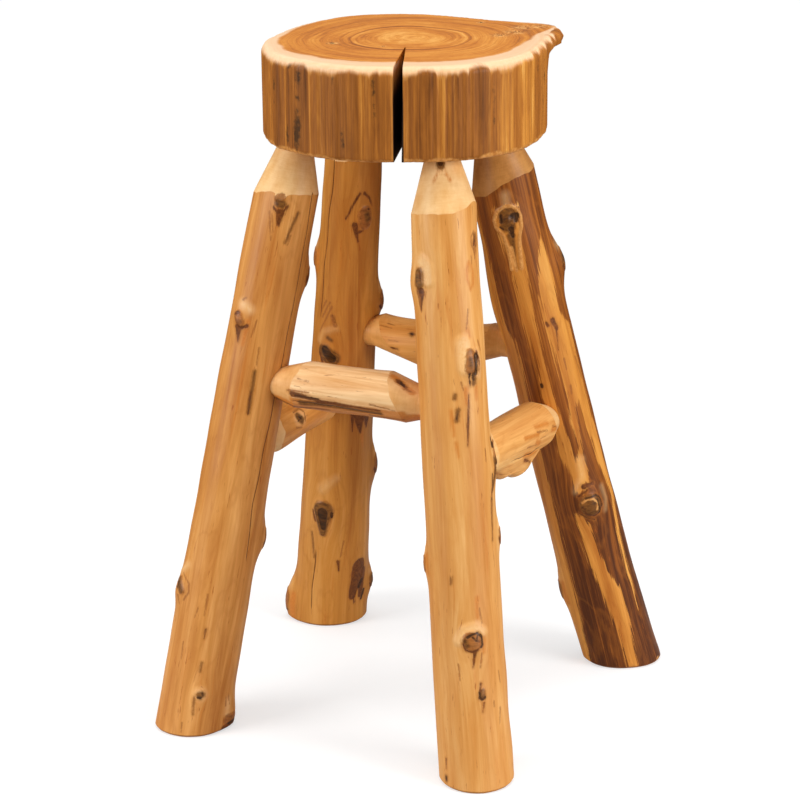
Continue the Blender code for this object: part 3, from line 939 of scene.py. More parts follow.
@dataclass
class Pole:
    """A peeled log along its own Z, on its CAD node's place, with a tenon at its end.

    Args:
        node: the CAD node that it stands for.
        start, end: the two ends of its straight axis.
        level: the direction that its own X is nearest to.
        radii: its radius at the two ends.
        finish: what its surface is.
        marks: what shows on it.
        oval: the turn at which it is widest.
        bows: how far its middle lies off the axis, near the start and near the end.
        seed: what its knife marks are drawn from.
        columns: how many columns of faces it has round it.
        flats: how many long flats the drawknife left round it.
        tenon_radius: the radius of its tenons.
        cutters: what is cut out of it.
    """

    node: str
    start: Array
    end: Array
    level: Place
    radii: Pair
    finish: PeeledFinish
    marks: tuple[Mark, ...]
    oval: float
    bows: tuple[Pair, Pair]
    seed: int
    columns: int = LEG_COLUMNS
    flats: int = 15
    tenon_radius: float = LEG_TENON_RADIUS
    cutters: list[Thing] = field(default_factory=list)

    def __post_init__(self) -> None:
        """Work out the log's own axes, its length and its knife marks."""
        along = unit(self.end - self.start)
        level = np.array(self.level, float)
        across = unit(level - along * level.dot(along))
        self.axes = np.stack([across, np.cross(along, across), along])
        self.length = float(np.linalg.norm(self.end - self.start))
        self.roots = (0.0, self.length)
        self.swellings, self.knots, self.cracks, self.bands = (
            [mark for mark in self.marks if isinstance(mark, kind)]
            for kind in (Swelling, Knot, Crack, Band)
        )
        self.wander = Ripple(self.seed, 0.30, (0, 2), (0.15, 0.60), 8)
        self.waves = Ripple(self.seed + 1, 0.00022, (1, 7), (0.05, 0.25))

    def world(self, local: Array) -> Array:
        """Return places in the log's own frame as places in the stool's."""
        return self.start + local @ self.axes

    def plain_radius(self, along: Array | float) -> Array | float:
        """Return the radius without waves and knots."""
        return mix(*self.radii, along / self.length)

    def centre(self, along: Array | float) -> tuple[Array, Array]:
        """Return the middle of the log off its axis at this length, straight past its roots."""
        first, last = self.roots
        share = np.clip((along - first) / (last - first), 0, 1)
        lift = 1 - (2 * share - 1) ** 4
        (x0, y0), (x1, y1) = self.bows
        return mix(x0, x1, share) * lift, mix(y0, y1, share) * lift

    def turns(self) -> Array:
        """Return the turns of the log's columns, closer together on its marked side."""
        even = np.linspace(-pi, pi, self.columns + 1)
        return even - CROWDING * np.sin(even - radians(MARKED_TURN))

    def around(self, turn: Array, along: Array, knot: Knot) -> tuple[Array, Array]:
        """Return how far places are from a knot's middle, in millimetres across and up."""
        off = wrapped(turn - radians(knot.turn)) * self.plain_radius(along)
        return off / MM, (along - knot.along * self.length) / MM

    def depth(self, turn: Array, along: Array) -> Array:
        """Return how deep the knife cut below the log's natural skin."""
        place = self.flats * turn / tau + self.wander.at(turn, along)
        off = place - np.floor(place) - 0.5
        return FLAT_DEPTH * (1 - 4 * off * off) + self.waves.at(turn, along)

    def relief(self, turn: Array, along: Array) -> Array:
        """Return the height of knife marks, knots and cracks over the CAD's surface."""
        height = -self.depth(turn, along)
        for knot in self.knots:
            across, up = self.around(turn, along, knot)
            if np.abs(up).min() > knot.spread + FAR:
                continue
            for stroke in knot.strokes:
                if stroke.lift:
                    inside = stroke.inside(across, up)
                    skirt = COLLAR_SKIRT if stroke.tint is Tint.LIGHT else FACE_SKIRT
                    rise = smooth(inside, -skirt, min(stroke.half, CROWN)) * stroke.lift
                    height = height + rise * MM
        side, width, close = self.crack_places(turn, along)
        groove = np.exp(-((side / (width + CRACK_LIP)) ** 2)) * close * np.minimum(width * 1.6, 1)
        return height - groove * MM

    def radius(self, turn: Array, along: Array) -> Array:
        """Return the radius on this side of the log, at this length along it."""
        share = along / self.length
        plain = self.plain_radius(along)
        oval = radians(self.oval)
        size = plain * (
            1 + OVAL * np.cos(2 * (turn - oval))
            + THIRD_WAVE * np.sin(3 * turn + tau * (share + oval))
        )
        for knot in self.swellings:
            width = knot.width * plain
            across = plain * wrapped(turn - radians(knot.turn)) / width
            up = (along - knot.along * self.length) / (width * 1.5)
            size = size + knot.rise * plain * np.exp(-across * across - up * up)
        return size + self.relief(turn, along)

    def reach(self, turn: Array, along: Array) -> Array:
        """Return how far the skin is from the log's straight axis on this side."""
        x, y = self.centre(along)
        out = x * np.cos(turn) + y * np.sin(turn)
        return out + np.sqrt(self.radius(turn, along) ** 2 - (x * x + y * y - out * out))

    def cone(self, along: Array, root: float, way: int) -> Array:
        """Return the radius of the cone that widens from its root, away from the tenon's end."""
        return self.tenon_radius + way * (root - along) * CONE_SLOPE

    def shoulder(self, turn: Array, root: float, way: int) -> Array:
        """Return where the cone that runs back from its root comes out at the skin."""
        inside = np.full_like(turn, root)
        outside = np.full_like(turn, root - way * self.length / 2)
        while np.abs(outside - inside).max() > WELD:
            middle = (inside + outside) / 2
            under = self.cone(middle, root, way) < self.reach(turn, middle)
            inside = np.where(under, middle, inside)
            outside = np.where(under, outside, middle)
        return inside

    def skin_rings(
        self, turn: Array, first: Array, last: Array, count: int, ends: Table
    ) -> list[Array]:
        """Return the rings of the skin, from one length to another and under its ends' cones."""
        rings = []
        for share in np.linspace(0, 1, count):
            along = mix(first, last, share)
            cones = [self.cone(along, root, way) for root, way in ends]
            rings.append(ring(turn, along, np.minimum.reduce([self.reach(turn, along), *cones])))
        return rings

    def end_rings(
        self, turn: Array, shoulder: Array, root: float, tip: float, way: int
    ) -> list[Array]:
        """Return the rings of a cone and its tenon, from the shoulder to the end's middle."""
        size = self.tenon_radius
        alongs = [mix(shoulder, root, share) for share in (0.012, *np.arange(1, 11) / 10)]
        outline = [(along, self.cone(along, root, way)) for along in alongs]
        outline += [
            (mix(root, tip, 0.33), size), (mix(root, tip, 0.66), size),
            (tip - way * TENON_CHAMFER, size), (tip, size - TENON_CHAMFER), (tip, size / 2), (tip, 0),
        ]
        return [ring(turn, along, radius) for along, radius in outline]

    def crack_places(self, turn: Array, along: Array) -> tuple[Array, Array, Array]:
        """Return the nearest crack's signed offset and half width in millimetres, and its nearness."""
        shape = np.broadcast(turn, along).shape
        best = np.full(shape, 99.0)
        width = np.zeros(shape)
        share = np.broadcast_to(along / self.length, shape)
        for crack in self.cracks:
            shares, turns = np.array(sorted(crack.places)).T
            middle = np.interp(share, shares, np.radians(turns))
            wiggle = 0.6 * np.sin(share * 61 + turns[0]) * MM
            side = (wrapped(turn - middle) * self.plain_radius(along) + wiggle) / MM
            end = np.minimum(share - shares[0], shares[-1] - share) * self.length / MM
            side = np.where(end < 0, side + np.sign(side) * -end * 0.6, side)
            nearer = np.abs(side) < np.abs(best)
            best = np.where(nearer, side, best)
            width = np.where(nearer, crack.width * smooth(end, -1.0, 9.0) - 0.2 * (end < -1), width)
        return best, width, 1 - smooth(np.abs(best), 2.6, 4.0)

    def tints(self, turn: Array, along: Array) -> Array:
        """Return how far places are inside each tint's strokes, in millimetres."""
        found = np.full((len(Tint), len(turn)), -FAR)
        for knot in self.knots:
            across, up = self.around(turn, along, knot)
            near = np.abs(up) < knot.spread + FAR
            for stroke in knot.strokes:
                inside = stroke.inside(across[near], up[near])
                layer = found[stroke.tint.value]
                layer[near] = np.maximum(layer[near], inside)
        return np.clip(found, -FAR, FAR)

    def grain(self, turn: Array, along: Array, size: Array) -> Array:
        """Return the place in the wood, with its fibres led round the knots."""
        bent = turn.copy()
        for knot in self.knots:
            if not knot.bend:
                continue
            across, up = self.around(turn, along, knot)
            x, y = across / (knot.bend * BEND_WIDTH), up / (knot.bend * BEND_LENGTH)
            push = across * np.exp(-(x * x + y * y)) * BEND_PUSH * MM
            bent = bent - push / self.plain_radius(along)
        return ring(bent, along, size)

    def heart_field(self, turn: Array, along: Array) -> Array:
        """Return how far places are inside the heartwood, in millimetres."""
        share = along / self.length
        found = np.full(turn.shape, 9.0)
        for band in self.bands:
            shares, low, high = np.array(sorted(band.stations)).T
            centre = np.radians(np.interp(share, shares, (low + high) / 2))
            half = np.radians(np.interp(share, shares, (high - low) / 2))
            side = (np.abs(wrapped(turn - centre)) - half) * self.plain_radius(along)
            past = np.maximum(shares[0] - share, share - shares[-1]) * self.length * 0.5
            away = np.where(past > 0, np.maximum(side, 0) + past, np.maximum(side, past))
            found = np.minimum(found, away / MM)
        return np.clip(found, -9.0, 9.0)

    def rows(self) -> Array:
        """Return the places of the log's rings in its own frame."""
        raise NotImplementedError

    def dress(self, piece: Thing) -> Array:
        """Store what the finish reads for each point, and return which points stay crisp."""
        places = Shop.places(piece)
        local = (places - self.start) @ self.axes.T
        turn, size = polar(local)
        along = local[:, 2]
        under = self.reach(turn, along) - size
        tints = self.tints(turn, along)
        sawn = (places[:, 2] < FOOT_CHAMFER * 0.99).astype(float)
        turned = smooth(under, TOUCH, 3 * TOUCH) * (1 - sawn)
        depth = self.depth(turn, along) / MM
        side, width, close = self.crack_places(turn, along)
        Shop.note(
            piece, grain=self.grain(turn, along, size).T, warm=tints[:3], dark=tints[3:6],
            border=tints[6], crack=(side, width, close * (1 - turned)),
            tooled=(turned, sawn, depth),
        )
        if self.bands:
            Shop.note(piece, heart=self.heart_field(turn, along))
        on_cone = np.zeros(len(along), bool)
        for root, way in ((self.roots[0], -1), (self.roots[1], 1)):
            on_cone |= np.abs(self.cone(along, root, way) - size) < TOUCH / 3
        return on_cone & (np.abs(under) < TOUCH / 3)

    def build(self) -> None:
        """Model the log, cut its mortises and screw holes, and dress it."""
        piece = Shop.rolled(self.node + "_peeled", self.world(self.rows()))
        Shop.cut(piece, self.cutters)
        Shop.smoothed(piece, self.dress(piece))
        Shop.settle(piece, self.node, self.finish)


@dataclass
class Leg(Pole):
    """A leg: a log from its sawn foot to a coned tenon under the slab."""

    def __post_init__(self) -> None:
        """Add the root of the tenon and its end."""
        super().__post_init__()
        upright = self.axes[2][2]
        lean_slope = sqrt(1 - upright * upright) / upright
        self.roots = (0.0, self.length - LEG_TENON_RADIUS * lean_slope - CLEARANCE)
        self.tip = self.length + LEG_TENON_LENGTH

    def level_along(self, turn: Array, height: float) -> Array:
        """Return the length at which the skin is at this height over the floor."""
        along = np.zeros_like(turn)
        for _ in range(6):
            side = self.axes[0][2] * np.cos(turn) + self.axes[1][2] * np.sin(turn)
            along = (height - side * self.reach(turn, along)) / self.axes[2][2]
        return along

    def rows(self) -> Array:
        """Return the places of the leg's rings, from the middle of its foot to its tenon."""
        turn = self.turns()
        sole = self.level_along(turn, 0.0)
        brim = ring(turn, sole, self.reach(turn, sole))
        middle = brim[:-1].mean(axis=0)
        away = brim - middle
        span = np.linalg.norm(away, axis=1, keepdims=True)
        inner = away * (1 - FOOT_CHAMFER / span)
        rings = [middle + inner * share for share in (0, 0.25, 0.5, 0.75, 0.93, 1)]
        first = self.level_along(turn, FOOT_CHAMFER)
        edge = ring(turn, first, self.reach(turn, first))
        rings.append(mix(rings[-1], edge, 0.55) + away / span * FOOT_CHAMFER * 0.08)
        last = self.shoulder(turn, self.roots[1], 1)
        rings += self.skin_rings(turn, first, last, LEG_ROWS, ((self.roots[1], 1),))
        return np.array(rings + self.end_rings(turn, last, self.roots[1], self.tip, 1))

    def axis_point(self, height: float) -> tuple[Array, float]:
        """Return the place on the leg's middle line at this height, and its length along it."""
        low = self.world(np.array([*self.centre(0.0), 0.0]))
        high = self.world(np.array([*self.centre(self.length), self.length]))
        along = self.length * (height - low[2]) / (high[2] - low[2])
        return self.world(np.array([*self.centre(along), along])), along

    def mortise(self) -> Thing:
        """Return the cutter for this leg's mortise in the slab."""
        size = LEG_TENON_RADIUS + CLEARANCE
        outline = [(self.roots[1] - OVERRUN, size), (self.tip + CLEARANCE, size)]
        return Shop.turned(self.node + "_mortise", outline, self.start, self.axes)


@dataclass
class Rung(Pole):
    """A rung: a log between two legs, with a coned tenon in each."""

    columns: int = RUNG_COLUMNS
    flats: int = 12
    tenon_radius: float = RUNG_TENON_RADIUS
    seats: Pair = (0.0, 0.0)

    def __post_init__(self) -> None:
        """Add the roots of the two cones and the ends of the tenons."""
        super().__post_init__()
        self.roots = (self.seats[0], self.length - self.seats[1])
        self.tips = (-RUNG_TENON_PAST_AXIS, self.length + RUNG_TENON_PAST_AXIS)

    def rows(self) -> Array:
        """Return the places of the rung's rings, from the one tenon's end to the other's."""
        turn = np.linspace(-pi, pi, self.columns + 1)
        low, high = self.roots
        first = self.shoulder(turn, low, -1)
        last = self.shoulder(turn, high, 1)
        rings = self.end_rings(turn, first, low, self.tips[0], -1)[::-1]
        rings += self.skin_rings(turn, first, last, RUNG_ROWS, ((high, 1), (low, -1)))
        return np.array(rings + self.end_rings(turn, last, high, self.tips[1], 1))

    def mortise(self, end: int) -> Thing:
        """Return the cutter for the mortise of this rung's tenon at an end, 0 or 1."""
        way = 1 if end else -1
        rise = RUNG_RADIUS - RUNG_TENON_RADIUS
        size = RUNG_TENON_RADIUS + CLEARANCE
        far = self.roots[end] - way * rise / CONE_SLOPE
        outline = [
            (self.tips[end] + way * CLEARANCE, size), (self.roots[end], size), (far, size + rise)
        ]
        name = f"{self.node}_mortise_{end}"
        return Shop.turned(name, sorted(outline), self.start, self.axes)


def screw_bore(name: str, length: float, head: Array, way: Array) -> Thing:
    """Return the cutter for a screw's hole.

    Args:
        name: the cutter's name.
        length: the screw's length.
        head: the middle of the screw's head.
        way: the direction that it is driven in.
    """
    along = -unit(way)
    side = unit(np.cross(along, (0.3, 0.2, 0.9)))
    axes = np.stack([side, np.cross(along, side), along])
    slim = SCREW_RADIUS + CLEARANCE
    wide = SCREW_HEAD_RADIUS + CLEARANCE
    outline = [(-length - CLEARANCE, slim), (-SCREW_HEAD_DEPTH, slim), (0, wide), (OVERRUN, wide)]
    return Shop.turned(name, outline, head, axes)


@dataclass
class Slab:
    """The seat: a thick slab sawn from a log, with a drying kerf and a burr on its edge."""

    node: str = "seat_slab"
    radius: float = SEAT_RADIUS
    thickness: float = SEAT_THICKNESS
    top_rounding: float = 0.009
    bottom_rounding: float = 0.005
    outline: tuple[Pair, ...] = (
        (-172, 0.962), (-155, 1.0), (-140, 1.01), (-126, 1.03), (-112, 1.02), (-98, 1.02), (-83, 1.012),
        (-67, 0.985), (-53, 1.009), (-41, 1.028), (-31, 1.033), (-21, 1.038), (-8, 1.015), (10, 0.99),
        (28, 1.0), (48, 1.01), (62, 0.985), (76, 0.955), (91, 0.955), (105, 0.985), (120, 1.01),
        (139, 1.03), (153, 0.994), (169, 0.966),
    )
    burr_reach: float = 0.029
    burr_thickness: float = 0.019
    burr_turn: float = 47.0
    burr_spread: float = 15.0
    burr_root: float = 0.35
    burr_crest: float = 0.93
    kerf_mouth: float = 0.0108
    kerf_tip: float = 0.0015
    kerf_mouth_turn: float = -68.2
    kerf_tip_turn: float = -65.0
    kerf_tip_share: float = 0.30
    kerf_lower_share: float = 0.50
    pith: Pair = (0.089, 76.0)
    heart_edges: tuple[Pair, ...] = (
        (-151, 0.885), (-132, 0.87), (-113, 0.838), (-90, 0.815), (-68, 0.812), (-45, 0.82),
        (-22, 0.826), (2, 0.835), (20, 0.875), (33, 0.935), (47, 1.11), (60, 1.01), (80, 0.965),
        (110, 0.965), (140, 0.955), (170, 0.925), (188, 0.905),
    )
    figures: Table = (
        (-141, 0.52, 3.4, 2.5), (72, 0.8, 2.6, 2.0), (34, 0.68, 0.4, 8.0), (41, 0.8, 0.8, 10.0),
        (50, 0.92, 0.8, 10.0), (48, 1.04, 1.2, 8.0), (-96, 0.3, 0.8, 2.0),
    )
    strips: Table = (
        (-147, -127, 8, 0.5), (-127, -119, 8, 0.44), (-118.5, -105.5, 4.5, 0.36), (-104, -100, 9, 0.5),
        (-100.5, -93, 10.5, 0.46), (-93.5, -83, 5.5, 0.4), (-83.5, -79, 7, 0.58), (-79, -75, 5, 0.42),
        (-75.5, -70, 6, 0.48), (-64.4, -60, 8.5, 0.5), (-61, -53, 3.5, 0.36), (-52.3, -50, 12, 0.54),
        (-50, -44.5, 8, 0.42), (-45, -40.5, 6, 0.46), (-41, -31.5, 2.2, 0.4), (-32, -27, 9, 0.5),
        (-26, -20, 11.5, 0.68), (-20.5, -14, 7.5, 0.58), (-14, -4, 6, 0.68), (-4, 3, 2.5, 0.52),
        (4, 16, 3, 0.58),
    )
    stains: Table = (
        (-116, 0.094, 3.2, 1.0), (-111, 0.084, 5.0, 9.0), (-112, 0.026, 6.0, 18.0),
        (-111.5, 0.062, 3.0, 1.6), (-126, 0.07, 2.4, 14.0), (-77.5, 0.08, 2.8, 10.0),
        (-77, 0.06, 2.2, 8.0), (-118, 0.02, 2.4, 8.0), (-90, 0.02, 2.0, 8.0), (-29.5, 0.056, 0.9, 26.0),
        (0, 0.08, 2.2, 10.0), (13, 0.066, 2.4, 16.0), (7, 0.06, 1.7, 12.0), (10, 0.03, 1.4, 8.0),
        (-125, 0.022, 1.2, 4.0), (-94, 0.086, 0.9, 4.0), (100, 0.06, 2.4, 6.0), (160, 0.05, 2.0, 9.0),
    )
    glows: tuple[Pair, ...] = (
        (-105, 0.8), (-99.5, 0.6), (-82.5, 0.9), (-80.5, 0.8), (-70.6, 1.2), (-64.6, 1.0), (-52.6, 0.7),
        (-50.4, 0.7), (-46.5, 0.5), (-32, 0.8), (-25.5, 0.9), (-23, 0.8), (-20, 0.7), (-16.5, 0.6),
        (-13, 0.8), (-9, 0.7), (-5, 0.7), (-1.5, 0.9), (4, 0.8),
    )
    finish: SlabFinish = field(default_factory=SlabFinish)
    cutters: list[Thing] = field(default_factory=list)

    def curve(self, table: tuple[Pair, ...], turn: Array) -> Array:
        """Return a table's value at these turns, on a smooth closed curve through its points."""
        turns, values = np.array(table).T
        count = len(turns)
        angle = (np.degrees(turn) - turns[0]) % 360
        starts = (turns - turns[0]) % 360
        spot = np.searchsorted(starts, angle, side="right") - 1
        span = (np.roll(turns, -1) - turns) % 360
        slope = (np.roll(values, -1) - np.roll(values, 1)) / (
            (np.roll(turns, -1) - np.roll(turns, 1)) % 360
        )
        step = (angle - starts[spot]) / span[spot]
        after = (spot + 1) % count
        enter, leave = slope[spot] * span[spot], slope[after] * span[spot]
        square, cube = step**2, step**3
        return (
            (2 * cube - 3 * square + 1) * values[spot] + (cube - 2 * square + step) * enter
            + (3 * square - 2 * cube) * values[after] + (cube - square) * leave
        )

    def rim(self, turn: Array) -> Array:
        """Return the slab's plain outline at these turns."""
        return self.radius * self.curve(self.outline, turn)

    def striped(self, turn: Array) -> tuple[Array, Array]:
        """Return how deep the pale edge runs down between the side's strips, and their tone."""
        draw = np.random.default_rng(17)
        strips = list(self.strips)
        start = strips[-1][1]
        while start < 200:
            wide = draw.uniform(4, 12)
            strips.append((start, start + wide, draw.uniform(3, 11), draw.uniform(0.36, 0.62)))
            start += wide + draw.uniform(-1, 1.5)
        depth = np.full(turn.shape, 12.0)
        tone = np.full(turn.shape, 0.60)
        for low, high, top, shade in strips:
            middle, half = (low + high) / 2, (high - low) / 2
            off = np.degrees(wrapped(turn - radians(middle)))
            side = (np.abs(off) - half) * self.radius * radians(1) / MM
            inside = 1 - smooth(side, -1.6, 0.8)
            lift = draw.uniform(1, 6)
            lean = draw.uniform(-2, 2) * off / half
            arch = top + lean + lift * np.clip(1 + side / (half * 2.7), 0, 2) ** 3
            depth = np.minimum(depth, mix(12.0, arch, inside))
            tone = mix(tone, shade, inside)
        return depth, tone

    def across(self, turn: Array, way: float) -> Array:
        """Return how far places on the side are from this turn, in millimetres."""
        return wrapped(turn - radians(way)) * self.radius / MM

    def spots(self, turn: Array, height: Array) -> tuple[Array, Array]:
        """Return how far places are inside the side's stains and its pale lines."""
        stain, glow = np.full((2, *turn.shape), -FAR)
        for way, level, half, tall in self.stains:
            up = (height - level) / MM / (1 + tall / half)
            stain = np.maximum(stain, half - np.hypot(self.across(turn, way), up))
        for way, half in self.glows:
            glow = np.maximum(glow, half - np.abs(self.across(turn, way)))
        return stain, glow

    def swirls(self, turn: Array, size: Array) -> tuple[Array, Array]:
        """Return how far places on top are inside its small knots, and inside their figure."""
        places = np.stack([np.cos(turn) * size, np.sin(turn) * size])
        knotty = np.full(turn.shape, -FAR)
        whorl = np.zeros(turn.shape)
        for way, share, half, reach in self.figures:
            middle = toward(way)[:, None] * share * self.radius
            off = np.hypot(*(places - middle)) / MM
            knotty = np.maximum(knotty, half - off)
            whorl = np.maximum(whorl, 1 - smooth(off, half, half + reach * 2))
        return knotty, whorl

    def scallops(self, turn: Array, seed: int, low: float, high: float) -> Array:
        """Return how deep the knife's scallops reach over an edge, between low and high."""
        draw = np.random.default_rng(seed)
        widths = draw.uniform(8, 17, 30)
        edges = np.concatenate([[0], np.cumsum(widths)]) * tau / widths.sum() - pi
        depths = draw.uniform(low, high, 30)
        spot = np.clip(np.searchsorted(edges, wrapped(turn), side="right") - 1, 0, 29)
        half = (edges[spot + 1] - edges[spot]) / 2
        off = (wrapped(turn) - edges[spot] - half) / half
        return depths[spot] * (1 - 0.55 * off * off)

    def burr_profile(self, height: Array) -> Array:
        """Return the share of the burr's reach at this height over the slab's underside."""
        under = self.thickness - self.burr_thickness
        crest = under + (self.burr_thickness - self.top_rounding) / 2
        heights = [under - self.burr_thickness, under, crest, self.thickness - self.top_rounding]
        return np.interp(height, heights, [0, self.burr_root, self.burr_crest, 1])

    def side_radius(self, turn: Array, height: Array) -> Array:
        """Return how far the side is from the slab's middle."""
        off = np.degrees(wrapped(turn - radians(self.burr_turn)))
        burr = self.burr_reach * self.burr_profile(height) * np.exp(-((off / self.burr_spread) ** 2))
        lumps = Ripple(5, 0.0012, (14, 60), (0.012, 0.05), 18).at(turn, height)
        burr = burr + lumps * burr / self.burr_reach
        flutes = Ripple(7, 0.00035, (60, 150), (0.5, 2.0), 26).at(turn, height)
        ribs = Ripple(9, 0.0005, (18, 48), (0.4, 1.2), 14).at(turn, height)
        return self.rim(turn) + burr - 0.0006 + flutes * 0.7 + ribs * 0.6

    def rows(self) -> Array:
        """Return the places of the slab's rings, from the middle of its underside upwards."""
        turn = np.linspace(-pi, pi, SLAB_COLUMNS + 1)
        low, high, top = self.bottom_rounding, self.top_rounding, self.thickness
        profile = [(0.0, low, share) for share in (0.0, 0.2, 0.4, 0.6, 0.75, 0.86, 0.94, 0.98)]
        for angle in np.linspace(0, pi / 2, 6):
            profile.append((low - low * cos(angle), low - low * sin(angle), 1.0))
        profile += [(height, 0.0, 1.0) for height in np.linspace(low, top - high, 56)[1:-1]]
        for angle in np.linspace(0, pi / 2, 10):
            profile.append((top - high + high * sin(angle), high - high * cos(angle), 1.0))
        profile += [(top, high, share) for share in np.linspace(1, 0, 34)[1:]]
        rings = []
        for height, inset, share in profile:
            size = (self.side_radius(turn, np.full_like(turn, height)) - inset) * share
            rings.append(ring(turn, height, size))
        rings = np.array(rings)
        cut = self.scallops(turn, 21, 0.0, 0.0012)
        brim = np.exp(-(((rings[:, :, 2] - (top - high * 0.45)) / (high * 0.4)) ** 2))
        rings[:, :, :2] *= (1 - brim * cut / self.radius)[:, :, None]
        return rings

    def kerf_line(self) -> tuple[Array, Array, float]:
        """Return the kerf's tip, its direction outwards, and how much it widens per metre."""
        tip = toward(self.kerf_tip_turn) * self.radius * self.kerf_tip_share
        way = toward(self.kerf_mouth_turn) * self.radius - tip
        return tip, unit(way), (self.kerf_mouth - self.kerf_tip) / float(np.linalg.norm(way))

    def kerf(self) -> Thing:
        """Return the cutter for the kerf, from the front of the slab nearly to its pith."""
        tip, way, flare = self.kerf_line()
        side = np.array((-way[1], way[0]))
        bpy.ops.mesh.primitive_cube_add(size=2)
        saw = bpy.context.active_object
        saw.name = "kerf_saw"
        for vertex in saw.data.vertices:
            x, y, z = vertex.co
            out = self.radius + self.burr_reach if x > 0 else 0.0
            half = (self.kerf_tip + flare * out) / 2
            right = half * (self.kerf_lower_share if z < 0 else 1)
            flat = tip + way * out + side * (right if y > 0 else -half)
            level = self.thickness / 2 + z * (self.thickness / 2 + OVERRUN)
            vertex.co = Vector((*flat, level)) + Vector(SEAT_CENTRE)
        return saw

    def dress(self, piece: Thing) -> None:
        """Store what the finish reads for each point."""
        local = Shop.places(piece) - SEAT_CENTRE
        turn, size = polar(local)
        height = local[:, 2]
        share, pith_turn = self.pith
        pith = toward(pith_turn) * share * self.radius
        round_turn = np.linspace(-pi, pi, 721)
        rim_turn, rim_size = polar(ring(round_turn, 0, self.rim(round_turn))[:, :2] - pith)
        flat_turn, flat_size = polar(local[:, :2] - pith)
        year = flat_size / np.interp(flat_turn, rim_turn, rim_size, period=tau)
        wobble = Ripple(31, 0.004, (4, 26), (9.0, 10.0), 14).at(turn, turn * 0)
        edge = self.curve(self.heart_edges, turn) + wobble
        core = (edge - size / self.rim(turn)) * self.radius / MM
        deep, tone = self.striped(turn)
        low_edge = self.scallops(turn, 22, 0.0015, 0.0060)
        inset = self.side_radius(turn, height) - size
        on_face = inset > self.top_rounding + MM
        brim = (self.thickness - height) / MM - deep
        brim = np.where(on_face, -9.0, np.clip(brim, -9, 9))
        foot = np.where(on_face, -9.0, np.clip((height - low_edge) / MM, -9, 9))
        burr_off = np.degrees(wrapped(turn - radians(self.burr_turn)))
        on_burr = np.exp(-((burr_off / 20) ** 2)) * smooth(height, 0.06, 0.085)
        tone += on_burr * 0.12 + Ripple(41, 0.03, (10, 40), (0.3, 0.9), 10).at(turn, height)
        stain, glow = self.spots(turn, height)
        # The lower half, where the finish paints the pale faces a darker tan as painted shade
        below = smooth(self.thickness / 2 - height, 0.0, 0.02)
        knotty, whorl = self.swirls(turn, size)
        Shop.note(
            piece, slab=(year, np.clip(core, -20, 20), np.cos(turn)),
            side=(tone, turn * self.radius, height),
            edge=(brim + on_burr * 9, foot, below * ~on_face), stain=(stain, glow, height),
            figure=(knotty, whorl, np.sin(turn)),
        )

    def build(self) -> None:
        """Model the slab, cut its kerf, its mortises and its screw holes, and dress it."""
        piece = Shop.rolled(self.node + "_sawn", self.rows() + SEAT_CENTRE)
        self.cutters.append(self.kerf())
        Shop.cut(piece, self.cutters)
        self.dress(piece)
        Shop.smoothed(piece)
        tip, way, flare = self.kerf_line()
        line = (tuple(tip + SEAT_CENTRE[:2]), tuple(way), flare, self.kerf_tip)
        Shop.settle(piece, self.node, replace(self.finish, kerf=line))


@dataclass(frozen=True)
class Post:
    """What sets one leg apart from the others, as shares of the usual measures."""

    name: str
    foot: Pair
    head: Pair
    radii: Pair
    bow: Pair
    oval: float
    finish: PeeledFinish
    marks: tuple[Mark, ...]


@dataclass(frozen=True)
class Rail:
    """What sets one rung apart from the others, as shares of the usual measures."""

    name: str
    start: str
    end: str
    height: float
    heights: Pair
    radii: Pair
    drops: Pair
    seats: Pair
    screw_side: int
    finish: PeeledFinish
    marks: tuple[Mark, ...]


